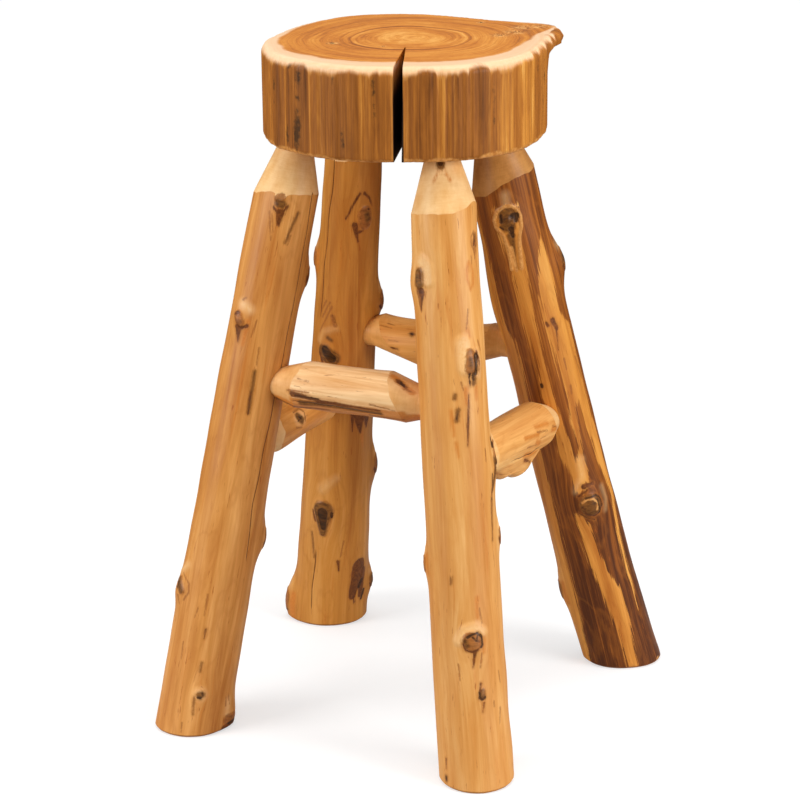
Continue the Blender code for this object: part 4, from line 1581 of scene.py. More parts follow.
FRONT_LEFT_MARKS = (
    Swelling(0.904, -74, 0.24, 0.06), Swelling(0.784, 27, 0.38, 0.15), Swelling(0.705, -115, 0.26, 0.07),
    Swelling(0.338, 27, 0.34, 0.17), Swelling(0.231, -140, 0.3, 0.12), Swelling(0.063, -61, 0.2, 0.04),
    Swelling(0.03, 20, 0.34, 0.12),
    Knot(0.903, -73, (rust(3.7, (-5.1, 5.4), (0.5, 7.7), lift=0.9), smoke(4.7, (-2.4, -0.1), (1.5, -0.9)),
        bark(1.5, (-7.3, -5.6), (0, -12)), bark(1.5, (7.5, -1.8), (2.3, -11.8)),
        bark(5.0, (1.2, -10.7), (1, -24), taper=0.25), rust(0.9, (-11.1, -11.5), (-4, -42), taper=0.6),
        rust(0.6, (-8, -13), (-3, -32), taper=0.6), smoke(1.4, (21, -8), (12, -42), taper=0.8),
        rust(0.8, (17, -33), (16, -44), taper=0.6))),
    Knot(0.706, -109, (light(4.5, (-1, 16), (9, 12)), rust(4.9, (-2.5, 3.0), (1.4, -4.4), lift=0.8),
        bark(1.7, (-5.7, 3.1), (-1.8, 5.1)), bark(1.8, (3.7, -10.6), (9.2, -6.7)),
        bark(3.4, (0, -11), (2, -27), taper=0.1), rust(1.1, (-1, 20), (2, 23)),
        rust(0.9, (19, 1), (16, -18), taper=0.6), amber(2.4, (9.1, -2.2), (8, -28), taper=0.5))),
    Knot(0.242, -131, (light(3.0, (4, 26), (-8, 14), lift=0.6),
        rust(1.0, (-1, 14), (11.6, 6.3), (13, -4), (8, -14)),
        smoke(3.7, (-3.8, 5.5), (3.1, -5.0), lift=1.0), pit(1.2, (-2.6, 3.6), (-3.8, -3.9)),
        rust(1.5, (-1, -12), (2, -21), taper=0.4))),
    Knot(0.073, -62, (light(5.8, (0.1, 0.9), (1.5, -0.6), lift=0.5), smoke(3.9, (-0.0, -1.5), (2.5, 0.1)),
        pit(1.4, (-1.8, -4.1), (2.6, -4.0)), pit(1.0, (2.6, 2.5), (3.7, -0.9)),
        smoke(1.2, (-5.0, -4.8), (-3, -25), taper=0.5))),
    Knot(0.027, 3, (light(3.4, (-4, 22), (-3.8, 7.9)), rust(6.0, (-2, 0), (8, 2), lift=0.5),
        bark(4.6, (-5, -11), (15, -6), lift=0.6), pit(1.6, (0.6, -5.2), (10.2, -2.0)),
        rust(0.9, (-9, 27), (-8, 17)), rust(0.9, (-4, 28), (-1, 18)))),
    Knot(0.603, -68, (rust(1.0, (1, 42), (2, 21), taper=0.5), smoke(2.1, (1, 15), (2, -32), taper=0.9),
        bark(0.9, (1.0, -7.7), (2, -33), taper=0.7))),
    Knot(0.19, -79, (rust(0.9, (-7, 18), (-8.8, 6.6), taper=0.6),
        rust(1.0, (1, 36), (1.5, 10.7), taper=0.5), bark(1.0, (5.7, -3.6), (6, -15), taper=0.5),
        rust(0.6, (-18, -25), (-16, -45), taper=0.6), smoke(1.2, (8, -43), (8, -53), taper=0.8),
        rust(0.9, (-2, -116), (-1, -127), taper=0.6))),
    branch(0.784, 30, 9, 12, 0.3), branch(0.338, 30, 8, 13, 0.4), branch(0.86, 120, 7, 9, 0.6, 20),
    branch(0.52, 165, 9, 12, 0.4, 26, 3), branch(0.27, 95, 8, 10, 0.7, 18),
    Crack(
        ((0.955, -12), (0.88, -8), (0.79, -6), (0.705, -10), (0.64, -14), (0.56, -18), (0.505, -20),
            (0.405, -24), (0.35, -20), (0.3, -16)), 0.55),
)
FRONT_LEFT = Post(
    "front_left", (-0.962, -1.007), (-1.034, -1.034), (0.97, 0.98), (-0.7, -0.3), 40,
    PeeledFinish("left pole wood", shift=1.0, mottle=0.7, dusk=0.15, pale=linear(242, 178, 104),
        gold=linear(214, 146, 72), amber=linear(178, 106, 40)),
    FRONT_LEFT_MARKS,
)

FRONT_RIGHT_MARKS = (
    Swelling(0.8, -145, 0.36, 0.1), Swelling(0.667, -30, 0.28, 0.08), Swelling(0.5, 24, 0.36, 0.12),
    Swelling(0.39, 24, 0.3, 0.08), Swelling(0.352, -155, 0.3, 0.1), Swelling(0.228, -58, 0.26, 0.06),
    Swelling(0.142, -52, 0.18, 0.03),
    Knot(0.985, -72, (smoke(5.9, (-2.0, -0.2), (2.7, -0.5)), pit(2.8, (-1.5, 0.3), (2.2, 0.1)),
        amber(1.6, (-11, -19), (-4.1, -8.5), (8.4, -10.3), (14, -18)))),
    Knot(0.811, -119, (light(7.0, (2, 16), (9.1, 8.4), (10, -4), lift=0.9),
        smoke(5.6, (-0.3, 3.5), (-0.8, -7.6), lift=1.0), bark(1.6, (1.1, 3.5), (1.6, -2.3)),
        bark(3.2, (1, -15), (2, -20)), rust(4.6, (-1, -16), (-1, -38), taper=0.15),
        bark(2.4, (3, -17), (0, -36), taper=0.2))),
    Knot(0.86, -9, (rust(1.3, (0.7, 10.7), (-5.1, 5.3), (-5.3, -2.6), (-1.4, -9.6), (0, -18), taper=0.8),
        rust(1.3, (5.3, 9.3), (9.8, 1.6), (4.5, -6.0), (0, -15), taper=0.8),
        rust(3.2, (2.0, 4.4), (2.0, -3.8), lift=0.5), smoke(2.4, (2.0, 6.4), (0.6, 1.2)),
        bark(1.7, (0.4, 0.8), (-0.8, -3.9)), rust(1.9, (-0.3, -7.2), (0, -18), taper=0.2),
        rust(1.0, (-7, -15), (-7, -24), taper=0.8), amber(1.3, (-11, -22), (-12, -31), taper=0.8))),
    Knot(0.807, -26, (amber(1.4, (-1, 15), (-4.3, 7.5), (-4.4, -3.1), (-1, -14)),
        amber(1.4, (-1, -14), (3.5, -8.0), (4.7, 4.6), (2, 13)),
        rust(1.1, (-6, -35), (-9, -55), taper=0.5), amber(1.1, (-8, -55), (-6, -64), taper=0.8))),
    Knot(0.672, -34, (light(8.0, (-9, 21), (-9, 8), (-8, -4), lift=1.0),
        rust(5.8, (-2.0, 9.3), (-3.4, -7.0), lift=1.2), smoke(2.4, (-3.0, 4.0), (-3.0, -4.0)),
        pit(3.3, (4.1, 6.5), (3.3, -11.5), taper=0.8, lift=-1.6),
        light(1.2, (8, 12), (11.2, -2.5), (8, -16), lift=0.9),
        bark(1.0, (5.7, 11.1), (8.4, 0.2), (7.0, -10.3)), smoke(2.9, (1, -12), (1, -22)),
        pit(1.1, (-5.0, -11.2), (-4, -25), taper=0.6), pit(0.9, (-1.3, -10.5), (-0, -19)),
        rust(1.0, (11, 22), (15, 12), taper=0.7), rust(1.1, (-14, -20), (-12, -29), taper=0.6),
        amber(2.6, (-9, -27), (-9, -43), taper=0.7), amber(1.9, (4, -27), (4, -40), taper=0.6))),
    Knot(0.58, -48, (bark(1.4, (0.2, -2.0), (-2, -26), taper=0.2),
        bark(1.4, (0.2, -2.0), (3, 28), taper=0.4), smoke(2.3, (-10, 13), (-12, 2)),
        pit(0.6, (-10.8, 9.5), (-12, 3)), smoke(1.8, (-12, 29), (-13, 25)),
        amber(1.8, (-17, 12), (-16, -14), taper=0.7), amber(1.4, (-14, -22), (-12, -37), taper=0.6),
        rust(1.2, (22, -32), (22, -45), taper=0.5))),
    Knot(0.527, 23, (light(2.6, (0, 15), (-0.1, 10.9), lift=0.6),
        rust(6.0, (-0.6, 6.1), (-1.0, -9.4), lift=1.4), pit(1.8, (-7, 14), (-6.3, 4.3)),
        smoke(4.6, (-4.0, -9.8), (-4, -18), (-15, -41), taper=0.45),
        pit(1.1, (-14, -24), (-18, -51), taper=0.8), smoke(1.3, (-18, -49), (-22, -95), taper=0.7))),
    Knot(0.231, -61, (light(4.4, (-14, 2), (-8, 13), (3, 16), (12.3, 10.0), lift=1.1),
        rust(9.4, (-0.9, 2.6), (-0.1, -1.3), lift=1.4),
        pit(1.5, (-5.4, 5.8), (-0.0, 8.6), (5.5, 9.6), lift=-0.4),
        pit(1.5, (5.5, 9.6), (9.4, 5.0), (10.3, -3.2), (8.1, -6.9), lift=-0.4),
        pit(0.8, (-0.2, 5.9), (3.6, 1.1), (9.8, 1.0)), pit(0.8, (5.1, 8.5), (3.6, 1.1)),
        bark(1.2, (-9.8, -1.3), (-7.8, -7.8), (-1.1, -10.2), (4.5, -8.2)),
        smoke(2.8, (-8.0, 1.8), (-5.9, -3.6)), bark(2.1, (1.3, -10.0), (-1, -27), taper=0.15),
        rust(1.0, (9, -13), (7, -28), taper=0.6), amber(1.7, (13, 5), (12, -12)),
        rust(1.0, (-16, -23), (-15, -40), taper=0.5))),
    Knot(0.146, -51, (smoke(3.3, (0.6, 3.4), (0.3, -0.9), lift=0.5),
        pit(1.4, (-3.2, 2.2), (-3.1, -3.3), (-0.2, -5.7), (3.2, -2.9)),
        bark(1.1, (-0.6, 11.7), (-1.8, 4.8)), bark(1.0, (1.3, -9.1), (0, -19), taper=0.5))),
    Knot(0.138, -57, (rust(0.9, (30, 27), (31, 15), taper=0.6),
        rust(1.0, (28, -12), (26, -29), taper=0.5), rust(0.8, (19, -4), (19, -10)),
        smoke(2.5, (-45, -85), (-45, -88)), pit(1.1, (-45, -85), (-45, -88)),
        bark(1.0, (-43, -65), (-44, -76), taper=0.6), amber(1.9, (5, 110), (4, 88), taper=0.5),
        rust(0.8, (7, 98), (9, 82), taper=0.6), smoke(1.0, (-21, 133), (-22, 126), taper=0.8))),
    branch(0.39, 24, 8, 10, 0.4), branch(0.352, -155, 8, 10, 0.4), branch(0.74, 120, 8, 11, 0.5, 22),
    branch(0.44, 160, 9, 12, 0.6, 24, -3), branch(0.18, 85, 7, 9, 0.4, 16),
)
FRONT_RIGHT = Post(
    "front_right", (0.932, -1.037), (1.049, -0.991), (0.985, 1.02), (-0.6, -0.3), 100,
    PeeledFinish("front pole wood", shift=9.0, mottle=0.4, dusk=0.16, pale=linear(242, 188, 118),
        gold=linear(222, 158, 84), amber=linear(200, 126, 50)),
    FRONT_RIGHT_MARKS,
)

BACK_RIGHT_MARKS = (
    Swelling(0.849, -71, 0.34, 0.06), Swelling(0.74, 28, 0.46, 0.24), Swelling(0.7, -152, 0.8, 0.1),
    Swelling(0.319, -53, 0.34, 0.1), Swelling(0.15, -152, 0.34, 0.11),
    Knot(0.851, -74, (light(4.9, (3, 27), (2, 18), taper=0.9, lift=0.4),
        smoke(10.3, (0.3, 3.5), (-1.2, -7.6), taper=0.8, lift=-0.6),
        rim(2.1, (-15, 1), (-10.1, 10.5), (-1, 15), (7, 14), (13, 8), lift=1.2),
        rim(2.1, (13, 8), (15, -1), (13, -12), (8, -23), (5, -37), (2, -60), lift=1.1),
        rim(2.1, (-15, 1), (-15, -8), (-9, -17), (-7, -36), (-9, -59), lift=1.0),
        rim(2.4, (-4, -34), (-4, -62), taper=0.7), smoke(0.8, (-1, -34), (-3, -60)),
        pit(1.9, (-6.9, 5.2), (-7.7, -2.5), lift=-0.6),
        pit(3.4, (5.5, 2.1), (10.4, 2.0), (8.6, -3.8), taper=0.8, lift=-1.2),
        rust(2.8, (-1.0, 0.1), (-1.2, -2.8), lift=0.8),
        pit(3.3, (1, -12), (1, -21), taper=0.6, lift=-0.6), pit(1.1, (-10.1, -7.8), (-7.4, -11.0)),
        smoke(4.4, (-1, -20), (-2, -44), taper=0.3))),
    Knot(0.322, -53, (light(4.7, (1, 57), (-2, 37), (-9, 28), (-14, 20), taper=0.4, lift=0.3),
        light(2.5, (21, 14), (22, -1), (17, -13), taper=0.7, lift=0.6),
        smoke(12.2, (-0.5, 1.4), (-0.2, -0.7), lift=1.4),
        rim(1.4, (-9, 6), (-3, 9), (4, 7), (8, 0), (5, -7)),
        rust(4.2, (-0.9, -0.5), (-0.3, -3.2), lift=0.3),
        bark(0.9, (-9.3, 0.6), (-7.6, -8.9), (-0, -14), (7.9, -11.4), (13, -3)),
        pit(1.1, (-4.0, 10.2), (7.8, 9.9), (12, 6), (14, -5), (7, -12), lift=-0.4),
        pit(1.0, (8.1, 4.0), (8.1, -7.6)), pit(0.9, (-15, -7), (-9, -14), (-0, -19)),
        bark(3.2, (-4, 24), (9, 24), taper=0.6), bark(1.4, (-12, 14), (1, 19), taper=0.8))),
    Knot(0.65, -37, (bark(3.4, (-1.1, 5.7), (1.2, -5.1), taper=0.8),
        bark(1.1, (0.1, -6.5), (-4, -30), taper=0.4), bark(1.7, (-10.0, 5.2), (-8.7, 1.7)),
        rust(1.5, (1, -43), (1, -56), taper=0.5), rust(1.6, (1, -77), (-0, -86), taper=0.6),
        pit(1.9, (-33, -65), (-33, -68)), rust(1.2, (22, -49), (25, -77), taper=0.6))),
    branch(0.743, 30, 12, 15, 0.5), branch(0.154, -152, 10, 13, 0.8, 18),
    branch(0.56, 100, 9, 12, 0.6, 22), branch(0.3, 150, 8, 11, 0.5, 18),
    Band(((0.0, -145, -119), (0.08, -150, -118), (0.16, -165, -112), (0.23, -170, -114),
        (0.35, -170, -115), (0.53, -172, -112), (0.63, -175, -113), (0.67, -175, -126),
        (0.74, -180, -123), (0.82, -180, -129), (0.9, -176, -132))),
    Band(((0.345, -70, -55), (0.37, -74, -50), (0.4, -77, -60), (0.43, -85, -63), (0.48, -79, -66),
        (0.53, -89, -71), (0.6, -83, -70), (0.67, -91, -70), (0.74, -88, -64), (0.81, -92, -60),
        (0.87, -95, -52))),
    Band(((0.0, -57, -42), (0.08, -59, -37), (0.15, -69, -38), (0.19, -73, -50), (0.23, -78, -59),
        (0.28, -81, -61), (0.31, -82, -70))),
    Band(((0.5, -46, 3), (0.53, -48, 4), (0.58, -51, 3), (0.63, -55, 6), (0.667, -55, -18),
        (0.7, -53, -16), (0.73, -48, -14), (0.76, -40, -16), (0.8, -24, -19))),
    Band(((0.36, -64, -48), (0.385, -64, -44), (0.4, -62, -47), (0.43, -48, -43), (0.473, -53, -40),
        (0.51, -50, -38))),
    Band(((0.1, -14, -12), (0.13, -15, -10), (0.2, -16, -11), (0.25, -17, -8), (0.318, -3, 10),
        (0.35, -8, 12), (0.387, -18, 5), (0.43, -19, 10), (0.468, -25, 2), (0.51, -30, 4))),
    Band(((0.0, 70, 78), (0.2, 62, 92), (0.5, 52, 100), (0.7, 48, 84), (0.9, 36, 60))),
    Band(((0.1, 140, 150), (0.3, 128, 156), (0.6, 132, 160), (0.88, 140, 150))),
)
BACK_RIGHT = Post(
    "back_right", (1.04, 1.042), (0.923, 0.941), (1.038, 1.052), (-1.7, -0.8), 10,
    HeartFinish("heart pole wood", Wood.HEART, shift=17.0, mottle=0.7, shine=0.36,
        pale=linear(238, 176, 90), gold=linear(216, 144, 60), amber=linear(176, 102, 32),
        # Its cone colours are partly darker wood and partly painted shade from the slab above
        cone=linear(202, 142, 74), cone_dark=linear(168, 108, 46)),
    BACK_RIGHT_MARKS,
)

BACK_LEFT_MARKS = (
    Swelling(0.821, -35, 0.3, 0.05), Swelling(0.727, -153, 0.38, 0.14), Swelling(0.645, 25, 0.4, 0.2),
    Swelling(0.562, -94, 0.28, 0.06), Swelling(0.318, 25, 0.4, 0.18), Swelling(0.241, -83, 0.34, 0.08),
    Swelling(0.075, 22, 0.3, 0.12), Swelling(0.029, -155, 0.5, 0.26),
    Knot(0.824, -36, (bark(1.8, (-7, 30), (-14, 18), (-22, -1), taper=0.5),
        bark(1.9, (-1, 30), (6, 22), (10.6, 11.1), taper=0.3),
        rust(9.0, (0.0, 5.1), (1.0, -6.0), lift=1.0), smoke(3.6, (2.0, 4.0), (3.0, -3.0)),
        bark(3.8, (-12, -9), (-10, -18), (-7, -30), taper=0.2), bark(1.7, (-3, -17), (-9, -18)),
        pit(1.1, (3.3, 10.3), (4.8, 9.2)))),
    Knot(0.564, -93, (light(2.6, (-14, 12), (-9, 25), (7, 34), lift=0.8),
        smoke(10.4, (-4.4, 0.4), (3.8, -4.3), lift=0.6), pit(5.6, (-3.9, 3.7), (4.4, -4.7), lift=-0.8),
        bark(2.2, (-12, -3), (-7.8, -11.9)), rust(2.8, (2, 49), (6, 38), taper=0.9),
        rust(1.1, (-2, 66), (-12, 43), taper=0.6), rust(1.0, (1, 61), (-15, 23), taper=0.6),
        rust(0.9, (-7, 66), (-16, 48), taper=0.6), smoke(1.8, (-3, 20), (3, 18)))),
    Knot(0.43, -28, (bark(5.4, (-8.5, 11.0), (13, 5)), bark(2.6, (-10.9, 9.3), (-10.3, -11.0), taper=0.3),
        bark(7.5, (-0.7, 3.9), (1, -16), taper=0.15), bark(4.8, (12, 0), (12, -12), taper=0.3),
        rust(3.4, (6.6, 6.0), (7.9, 0.2), lift=0.4), amber(2.6, (4, -16), (6, -36), taper=0.4))),
    Knot(0.243, -85, (light(5.4, (-4, 35), (3, 43), (12, 53), taper=0.7, lift=0.6),
        smoke(12.0, (-0.8, 7.4), (0, -25), taper=0.3, lift=1.4),
        pit(6.0, (-1.0, 5.0), (1.0, -16), taper=0.5, lift=-0.6), pit(1.6, (9.6, 6.0), (10, 0)),
        bark(1.5, (-14, 3), (-9.6, -9.9), taper=0.8), smoke(1.0, (-15, -28), (-10, -62), taper=0.6),
        rust(0.9, (26, -35), (23, -57), taper=0.6))),
    Knot(0.097, -24, (bark(11.0, (5, 22), (-4, -16), taper=0.55, lift=-0.4),
        bark(6.6, (12, 12), (9, -20), taper=0.6), pit(2.7, (11.2, 0.3), (6.4, -7.6)),
        pit(2.4, (16, -16), (11, -27), taper=0.8), pit(3.0, (36, -22), (36, -27)),
        light(3.4, (36, 6), (36, -12), taper=0.8, lift=0.8), bark(1.4, (-3, -19), (-1, -27)),
        bark(1.7, (-25, 36), (-24, 23), taper=0.6))),
    branch(0.727, -153, 9, 12, 0.4), branch(0.648, 25, 10, 13, 0.4), branch(0.322, 25, 10, 13, 0.4),
    branch(0.079, 22, 8, 10, 0.5), branch(0.03, -155, 14, 16, 0.3), branch(0.6, 110, 9, 12, 0.5, 24),
    branch(0.2, 140, 8, 11, 0.6, 18),
    Crack(((0.93, -104), (0.85, -108), (0.78, -112), (0.7, -116), (0.62, -118)), 0.45),
    Crack(((0.17, -96), (0.13, -97), (0.09, -98), (0.04, -98)), 0.5),
)
BACK_LEFT = Post(
    "back_left", (-0.992, 0.962), (-1.112, 0.926), (1.06, 0.907), (0.0, 0.0), 70,
    PeeledFinish("rear pole wood", shift=25.0, mottle=0.7, shine=0.25, pale=linear(220, 156, 80),
        gold=linear(200, 132, 54), amber=linear(170, 100, 32)),
    BACK_LEFT_MARKS,
)

POSTS = (FRONT_LEFT, FRONT_RIGHT, BACK_RIGHT, BACK_LEFT)

FRONT_RUNG_MARKS = (
    Swelling(0.25, 110, 0.5, 0.05), Swelling(0.72, -20, 0.5, 0.04),
    Knot(0.765, 28, (bark(3.0, (-4, -5), (2, 6), taper=0.6), pit(1.6, (-3, -2), (1, 3)),
        rust(2.0, (4, 6), (6, 14), taper=0.4), amber(4.0, (-8, -12), (6, 14)))),
    # The two amber strokes are painted shade along the rung's low side; the rust, bark, pit and smoke
    # strokes are real streaks
    Knot(0.5, 102, (amber(12.0, (19, -100), (17, 84)), amber(4.0, (4, -60), (4, 70)),
        rust(3.6, (16, -84), (17, -20), taper=0.4), rust(2.4, (15, 30), (14, 70), taper=0.5),
        bark(3.0, (-4, -60), (0, -26), taper=0.6), pit(0.9, (-3, -56), (-2, -28)),
        bark(2.6, (1, -30), (3, 44), taper=0.4), smoke(3.6, (6, -50), (8, 44), taper=0.7),
        rust(1.6, (-7, -66), (-8, -40), taper=0.5), rust(1.4, (-4, 34), (0, 62), taper=0.5))),
    Knot(0.3, 55, (rust(0.9, (0, -6), (1, 7), taper=0.6),)), branch(0.48, -120, 7, 8, 0.5),
    Crack(((0.24, 112), (0.4, 117), (0.55, 121), (0.7, 126)), 0.5),
)
FRONT_RUNG = Rail(
    "front", "front_left", "front_right", UPPER_RUNG_HEIGHT, (0.996, 0.991), (0.98, 0.98), (-0.13, -0.54),
    (1.0, 1.0), 1,
    # Its pale and gold colours are lightened partly as a painted highlight along the rung's top
    PeeledFinish("front rung wood", shift=33.0, mottle=0.5, pale=linear(255, 224, 178),
        gold=linear(248, 202, 146), amber=linear(210, 142, 70), cone=linear(238, 184, 120),
        cone_dark=linear(216, 152, 84)),
    FRONT_RUNG_MARKS,
)

BACK_RUNG_MARKS = (
    Swelling(0.44, 180, 0.8, 0.15),
    Knot(0.385, 74, (smoke(3.0, (0, 0), (0.5, 0.5)), pit(1.3, (0, -0.4), (0.6, 0.6)))),
    Knot(0.23, 76, (rust(0.9, (-9, -2), (-7, 12), taper=0.5), rust(1.2, (-14, 6), (-12, 14), taper=0.5),
        rust(0.8, (9, 10), (10, 22), taper=0.5), bark(1.4, (17, 14), (18, 22), taper=0.5))),
    branch(0.44, 170, 10, 12, 0.5),
)
BACK_RUNG = Rail(
    "back", "back_left", "back_right", UPPER_RUNG_HEIGHT, (0.977, 0.999), (0.96, 0.92), (1.0, 1.0),
    (-1.0, -2.7), 1,
    PeeledFinish("back rung wood", shift=41.0, mottle=0.5, cone=linear(228, 166, 92),
        cone_dark=linear(204, 140, 68)),
    BACK_RUNG_MARKS,
)

RIGHT_RUNG_MARKS = (
    Swelling(0.39, 180, 0.56, 0.52), Swelling(0.49, 180, 0.56, 0.35), Swelling(0.58, 180, 0.56, 0.76),
    Swelling(0.66, 80, 0.5, 0.06), branch(0.59, 178, 9, 10, 0.6),
    Knot(0.56, 110, (amber(2.6, (-16, -30), (-13, 4)), amber(3.4, (-4, 2), (-2, 10)),
        amber(3.4, (8, -18), (11, 16), taper=0.6), amber(2.0, (-22, 0), (-20, 30)),
        rust(1.0, (-3, -22), (-1, 4), taper=0.5), rust(0.9, (5, 4), (6, 26), taper=0.5),
        bark(1.3, (14, -14), (18, 4), taper=0.5), rust(1.2, (-16, 2), (-13, 26), taper=0.6))),
    Knot(0.74, 84, (rust(1.3, (-2, -6), (1, 8), taper=0.6), amber(3.0, (2, -8), (4, 12)))),
    Crack(((0.36, 128), (0.5, 131), (0.64, 126)), 0.5),
)
RIGHT_RUNG = Rail(
    "right", "front_right", "back_right", LOWER_RUNG_HEIGHT, (1.033, 0.972), (0.92, 1.07), (-0.1, -0.2),
    (1.0, 1.0), -1,
    PeeledFinish("right rung wood", shift=49.0, mottle=0.7, pale=linear(248, 198, 126),
        gold=linear(234, 172, 98), amber=linear(202, 126, 50)),
    RIGHT_RUNG_MARKS,
)

LEFT_RUNG_MARKS = (
    Swelling(0.55, -60, 0.5, 0.06),
    Knot(0.38, 75, (light(8.0, (0, -4), (1, 6)), smoke(5.0, (-3, -3), (3, 4)),
        rust(1.4, (-10, -8), (-11, 6), (-4, 14), (6, 12)), smoke(3.0, (-1, -2), (1, 3), lift=0.4),
        pit(1.4, (-2, -2), (1, 2)), pit(0.8, (2, -6), (-1, 6)), rust(1.0, (8, -12), (12, 2), taper=0.6))),
    branch(0.72, 48, 5, 7, 0.8),
)
LEFT_RUNG = Rail(
    "left", "front_left", "back_left", LOWER_RUNG_HEIGHT, (1.0, 0.975), (1.0, 1.0), (0.1, 0.1),
    (1.0, 1.0), -1, PeeledFinish("left rung wood", shift=57.0, mottle=0.7),
    LEFT_RUNG_MARKS,
)

RAILS = (FRONT_RUNG, BACK_RUNG, RIGHT_RUNG, LEFT_RUNG)


class Base:
    """The four legs and the four rungs that tie them, with the holes that they cut."""

    def __init__(self, slab: Slab) -> None:
        """Lay out the legs and rungs, and make the cutters of their joints."""
        self.slab = slab
        self.legs: dict[str, Leg] = {}
        self.rungs: list[Rung] = []
        for number, post in enumerate(POSTS):
            self.add_leg(number, post)
        for number, rail in enumerate(RAILS):
            self.add_rung(number, rail)

    def add_leg(self, number: int, post: Post) -> None:
        """Lay out a leg, and cut its mortise and its screw's hole in the slab."""
        foot = np.array((*(FOOT_SPREAD * share for share in post.foot), 0.0)) - MIDDLE
        head = np.array((*(HEAD_SPREAD * share for share in post.head), SEAT_UNDERSIDE)) - MIDDLE
        bow = tuple(LEG_BOW * share for share in post.bow)
        leg = Leg(
            "leg_" + post.name, foot, head, (1, 0, 0),
            (LEG_FOOT_RADIUS * post.radii[0], LEG_HEAD_RADIUS * post.radii[1]), post.finish,
            post.marks, post.oval, (bow, bow), LEG_SEED + SEED_STEP * number,
        )
        self.legs[post.name] = leg
        outward = unit((head - SEAT_CENTRE) * (1, 1, 0))
        way = unit(outward + (0, 0, 1))
        start = head - outward * SEAT_SCREW_INSET + way * SEAT_SCREW_SINK
        bore = screw_bore("seat_bore_" + post.name, SEAT_SCREW_LENGTH, start, way)
        leg.cutters.append(bore)
        self.slab.cutters += [leg.mortise(), bore]

    def add_rung(self, number: int, rail: Rail) -> None:
        """Lay out a rung, and cut its mortises and its screws' holes in its two legs."""
        legs = [self.legs[rail.start], self.legs[rail.end]]
        ends = [leg.axis_point(rail.height * share) for leg, share in zip(legs, rail.heights)]
        leg_radii = [leg.plain_radius(along) for leg, (_, along) in zip(legs, ends)]
        seats = [size - CONE_SEAT_IN * share for size, share in zip(leg_radii, rail.seats)]
        bows = tuple((-RUNG_DROP * share, 0.0) for share in rail.drops)
        rung = Rung(
            "rung_" + rail.name, ends[0][0], ends[1][0], (0, 0, 1),
            (RUNG_RADIUS * rail.radii[0], RUNG_RADIUS * rail.radii[1]), rail.finish, rail.marks,
            0.0, bows, RUNG_SEED + SEED_STEP * number, seats=tuple(seats),
        )
        self.rungs.append(rung)
        for end, rung_way in enumerate((rung.axes[2], -rung.axes[2])):
            leg, leg_radius, place = legs[end], leg_radii[end], ends[end][0]
            out = unit(np.cross(leg.axes[2], rung_way))
            hidden = np.array((0, 1, 0)) if rail.screw_side > 0 else np.array((-1, 0, 0))
            out = out if out.dot(hidden) > 0 else -out
            drop = leg_radius - sqrt(leg_radius**2 - RUNG_SCREW_OFFSET**2)
            head = place + rung_way * RUNG_SCREW_OFFSET
            head = head + out * (leg_radius - drop - RUNG_SCREW_SINK)
            bore = screw_bore(f"{rung.node}_bore_{end}", RUNG_SCREW_LENGTH, head, -out)
            leg.cutters += [rung.mortise(end), bore]
            rung.cutters.append(bore)

    def build(self) -> None:
        """Model and dress the legs and the rungs, and remove all cutters."""
        poles = (*self.legs.values(), *self.rungs)
        for pole in poles:
            pole.build()
        for mesh in {cutter.data for owner in (self.slab, *poles) for cutter in owner.cutters}:
            bpy.data.meshes.remove(mesh)


def finish_screws(nodes: dict[str, Thing]) -> None:
    """Give the wood screws, which keep their CAD meshes, the steel finish."""
    steel = ScrewFinish().material()
    for name, node in nodes.items():
        if "screw" in name:
            node.data.materials.clear()
            node.data.materials.append(steel)
            LOG.info("%s: finished", name)


@dataclass(frozen=True)
class Lamp:
    """A soft square lamp.

    Args:
        name: its name.
        place: where it hangs.
        size: its side.
        power: its power in watts.
    """

    name: str
    place: Place
    size: float
    power: float
    aim: Place = (0.0, 0.0, 0.40)

    def hang(self) -> None:
        """Add the lamp, turned to the stool."""
        bulb = bpy.data.lights.new(self.name, "AREA")
        bulb.shape = "SQUARE"
        bulb.size = self.size
        bulb.energy = self.power
        lamp = bpy.data.objects.new(self.name, bulb)
        bpy.context.scene.collection.objects.link(lamp)
        lamp.location = self.place
        way = Vector(self.aim) - Vector(self.place)
        lamp.rotation_euler = way.to_track_quat("-Z", "Y").to_euler()


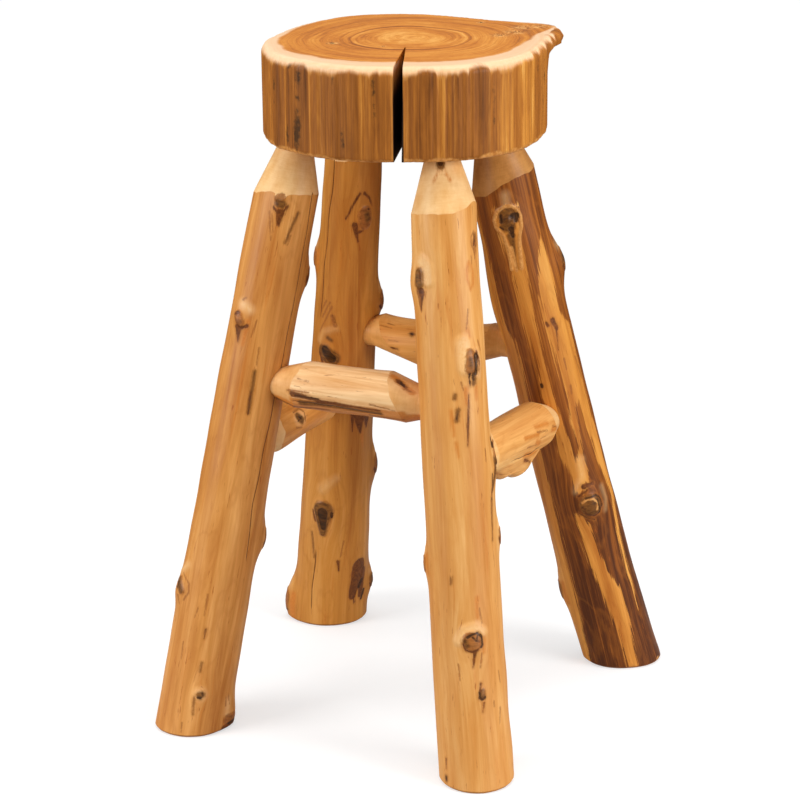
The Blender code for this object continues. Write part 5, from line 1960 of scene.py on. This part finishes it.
@dataclass(frozen=True)
class Studio:
    """White floor and backdrop, soft lamps, and the camera at the photograph's angle."""

    azimuth: float = 24.96
    elevation: float = 17.66
    roll: float = 0.572
    distance: float = 3.4897
    target: Place = (-0.0047, -0.0033, 0.3514)
    lens: float = 139.71
    sensor: float = 36.0
    floor_size: float = 12.0
    floor_fade: Pair = (0.45, 1.25)
    floor_lift: float = 0.56
    sky: float = 0.30
    lamps: tuple[Lamp, ...] = (
        Lamp("left box", (-1.85, -2.1, 1.2), 1.4, 61.0),
        Lamp("right box", (2.8, -0.35, 1.2), 1.4, 72.0),
        Lamp("top box", (0.1, -0.1, 3.1), 1.9, 47.0),
    )

    def floor(self) -> None:
        """Lay a white floor that keeps the stool's shadow and ends in pure white."""
        bpy.ops.mesh.primitive_plane_add(size=self.floor_size, location=(0, 0, -0.0005))
        plane = bpy.context.active_object
        plane.name = "studio_floor"
        shader = Shader("studio floor")
        place = shader.node("VectorMath", {0: shader.place})
        place.operation = "LENGTH"
        far = shader.step(place.outputs["Value"], *self.floor_fade)
        grey = shader.ramp(far, (0.0, (0.50, 0.50, 0.50, 1)), (1.0, (0.02, 0.02, 0.02, 1)))
        lift = far * (1.0 - self.floor_lift) + self.floor_lift
        shader.fill(shader.surface, {
            "Base Color": grey, "Roughness": 0.9, "Specular IOR Level": 0.0,
            "Emission Color": WHITE,
            "Emission Strength": lift * shader.node("LightPath").outputs["Is Camera Ray"],
        })
        plane.data.materials.append(shader.material)
        plane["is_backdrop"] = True

    def world(self) -> None:
        """Make the sky white to the camera, and a plain soft light to the stool."""
        world = bpy.data.worlds.new("studio")
        bpy.context.scene.world = world
        world.use_nodes = True
        tree = world.node_tree
        back = tree.nodes["Background"]
        back.inputs["Color"].default_value = WHITE
        path = tree.nodes.new("ShaderNodeLightPath")
        strength = tree.nodes.new("ShaderNodeMapRange")
        strength.inputs["To Min"].default_value = self.sky
        strength.inputs["To Max"].default_value = 1.0
        tree.links.new(path.outputs["Is Camera Ray"], strength.inputs["Value"])
        tree.links.new(strength.outputs["Result"], back.inputs["Strength"])

    def camera(self) -> None:
        """Place the camera where the photograph was taken from."""
        turning = (
            Matrix.Rotation(radians(self.azimuth), 4, "Z")
            @ Matrix.Rotation(radians(90 - self.elevation), 4, "X")
            @ Matrix.Rotation(radians(-self.roll), 4, "Z")
        )
        data = bpy.data.cameras.new("camera")
        data.lens = self.lens
        data.sensor_width = self.sensor
        camera = bpy.data.objects.new("camera", data)
        bpy.context.scene.collection.objects.link(camera)
        place = Vector(self.target) + turning @ Vector((0, 0, self.distance))
        camera.matrix_world = Matrix.Translation(place) @ turning
        bpy.context.scene.camera = camera

    def build(self) -> None:
        """Set up the whole studio."""
        self.floor()
        self.world()
        self.camera()
        for lamp in self.lamps:
            lamp.hang()
        bpy.context.scene.view_settings.view_transform = "Standard"


def main() -> None:
    """Build the slab, the base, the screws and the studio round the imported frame."""
    logging.basicConfig(level=logging.INFO, format="%(name)s: %(message)s")
    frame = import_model()
    cad_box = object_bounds()
    FRAME_BOX[:] = [tuple(corner) for corner in cad_box]
    slab = Slab()
    base = Base(slab)
    slab.build()
    base.build()
    finish_screws(frame["nodes"])
    Studio().build()


if __name__ == "__main__":
    main()
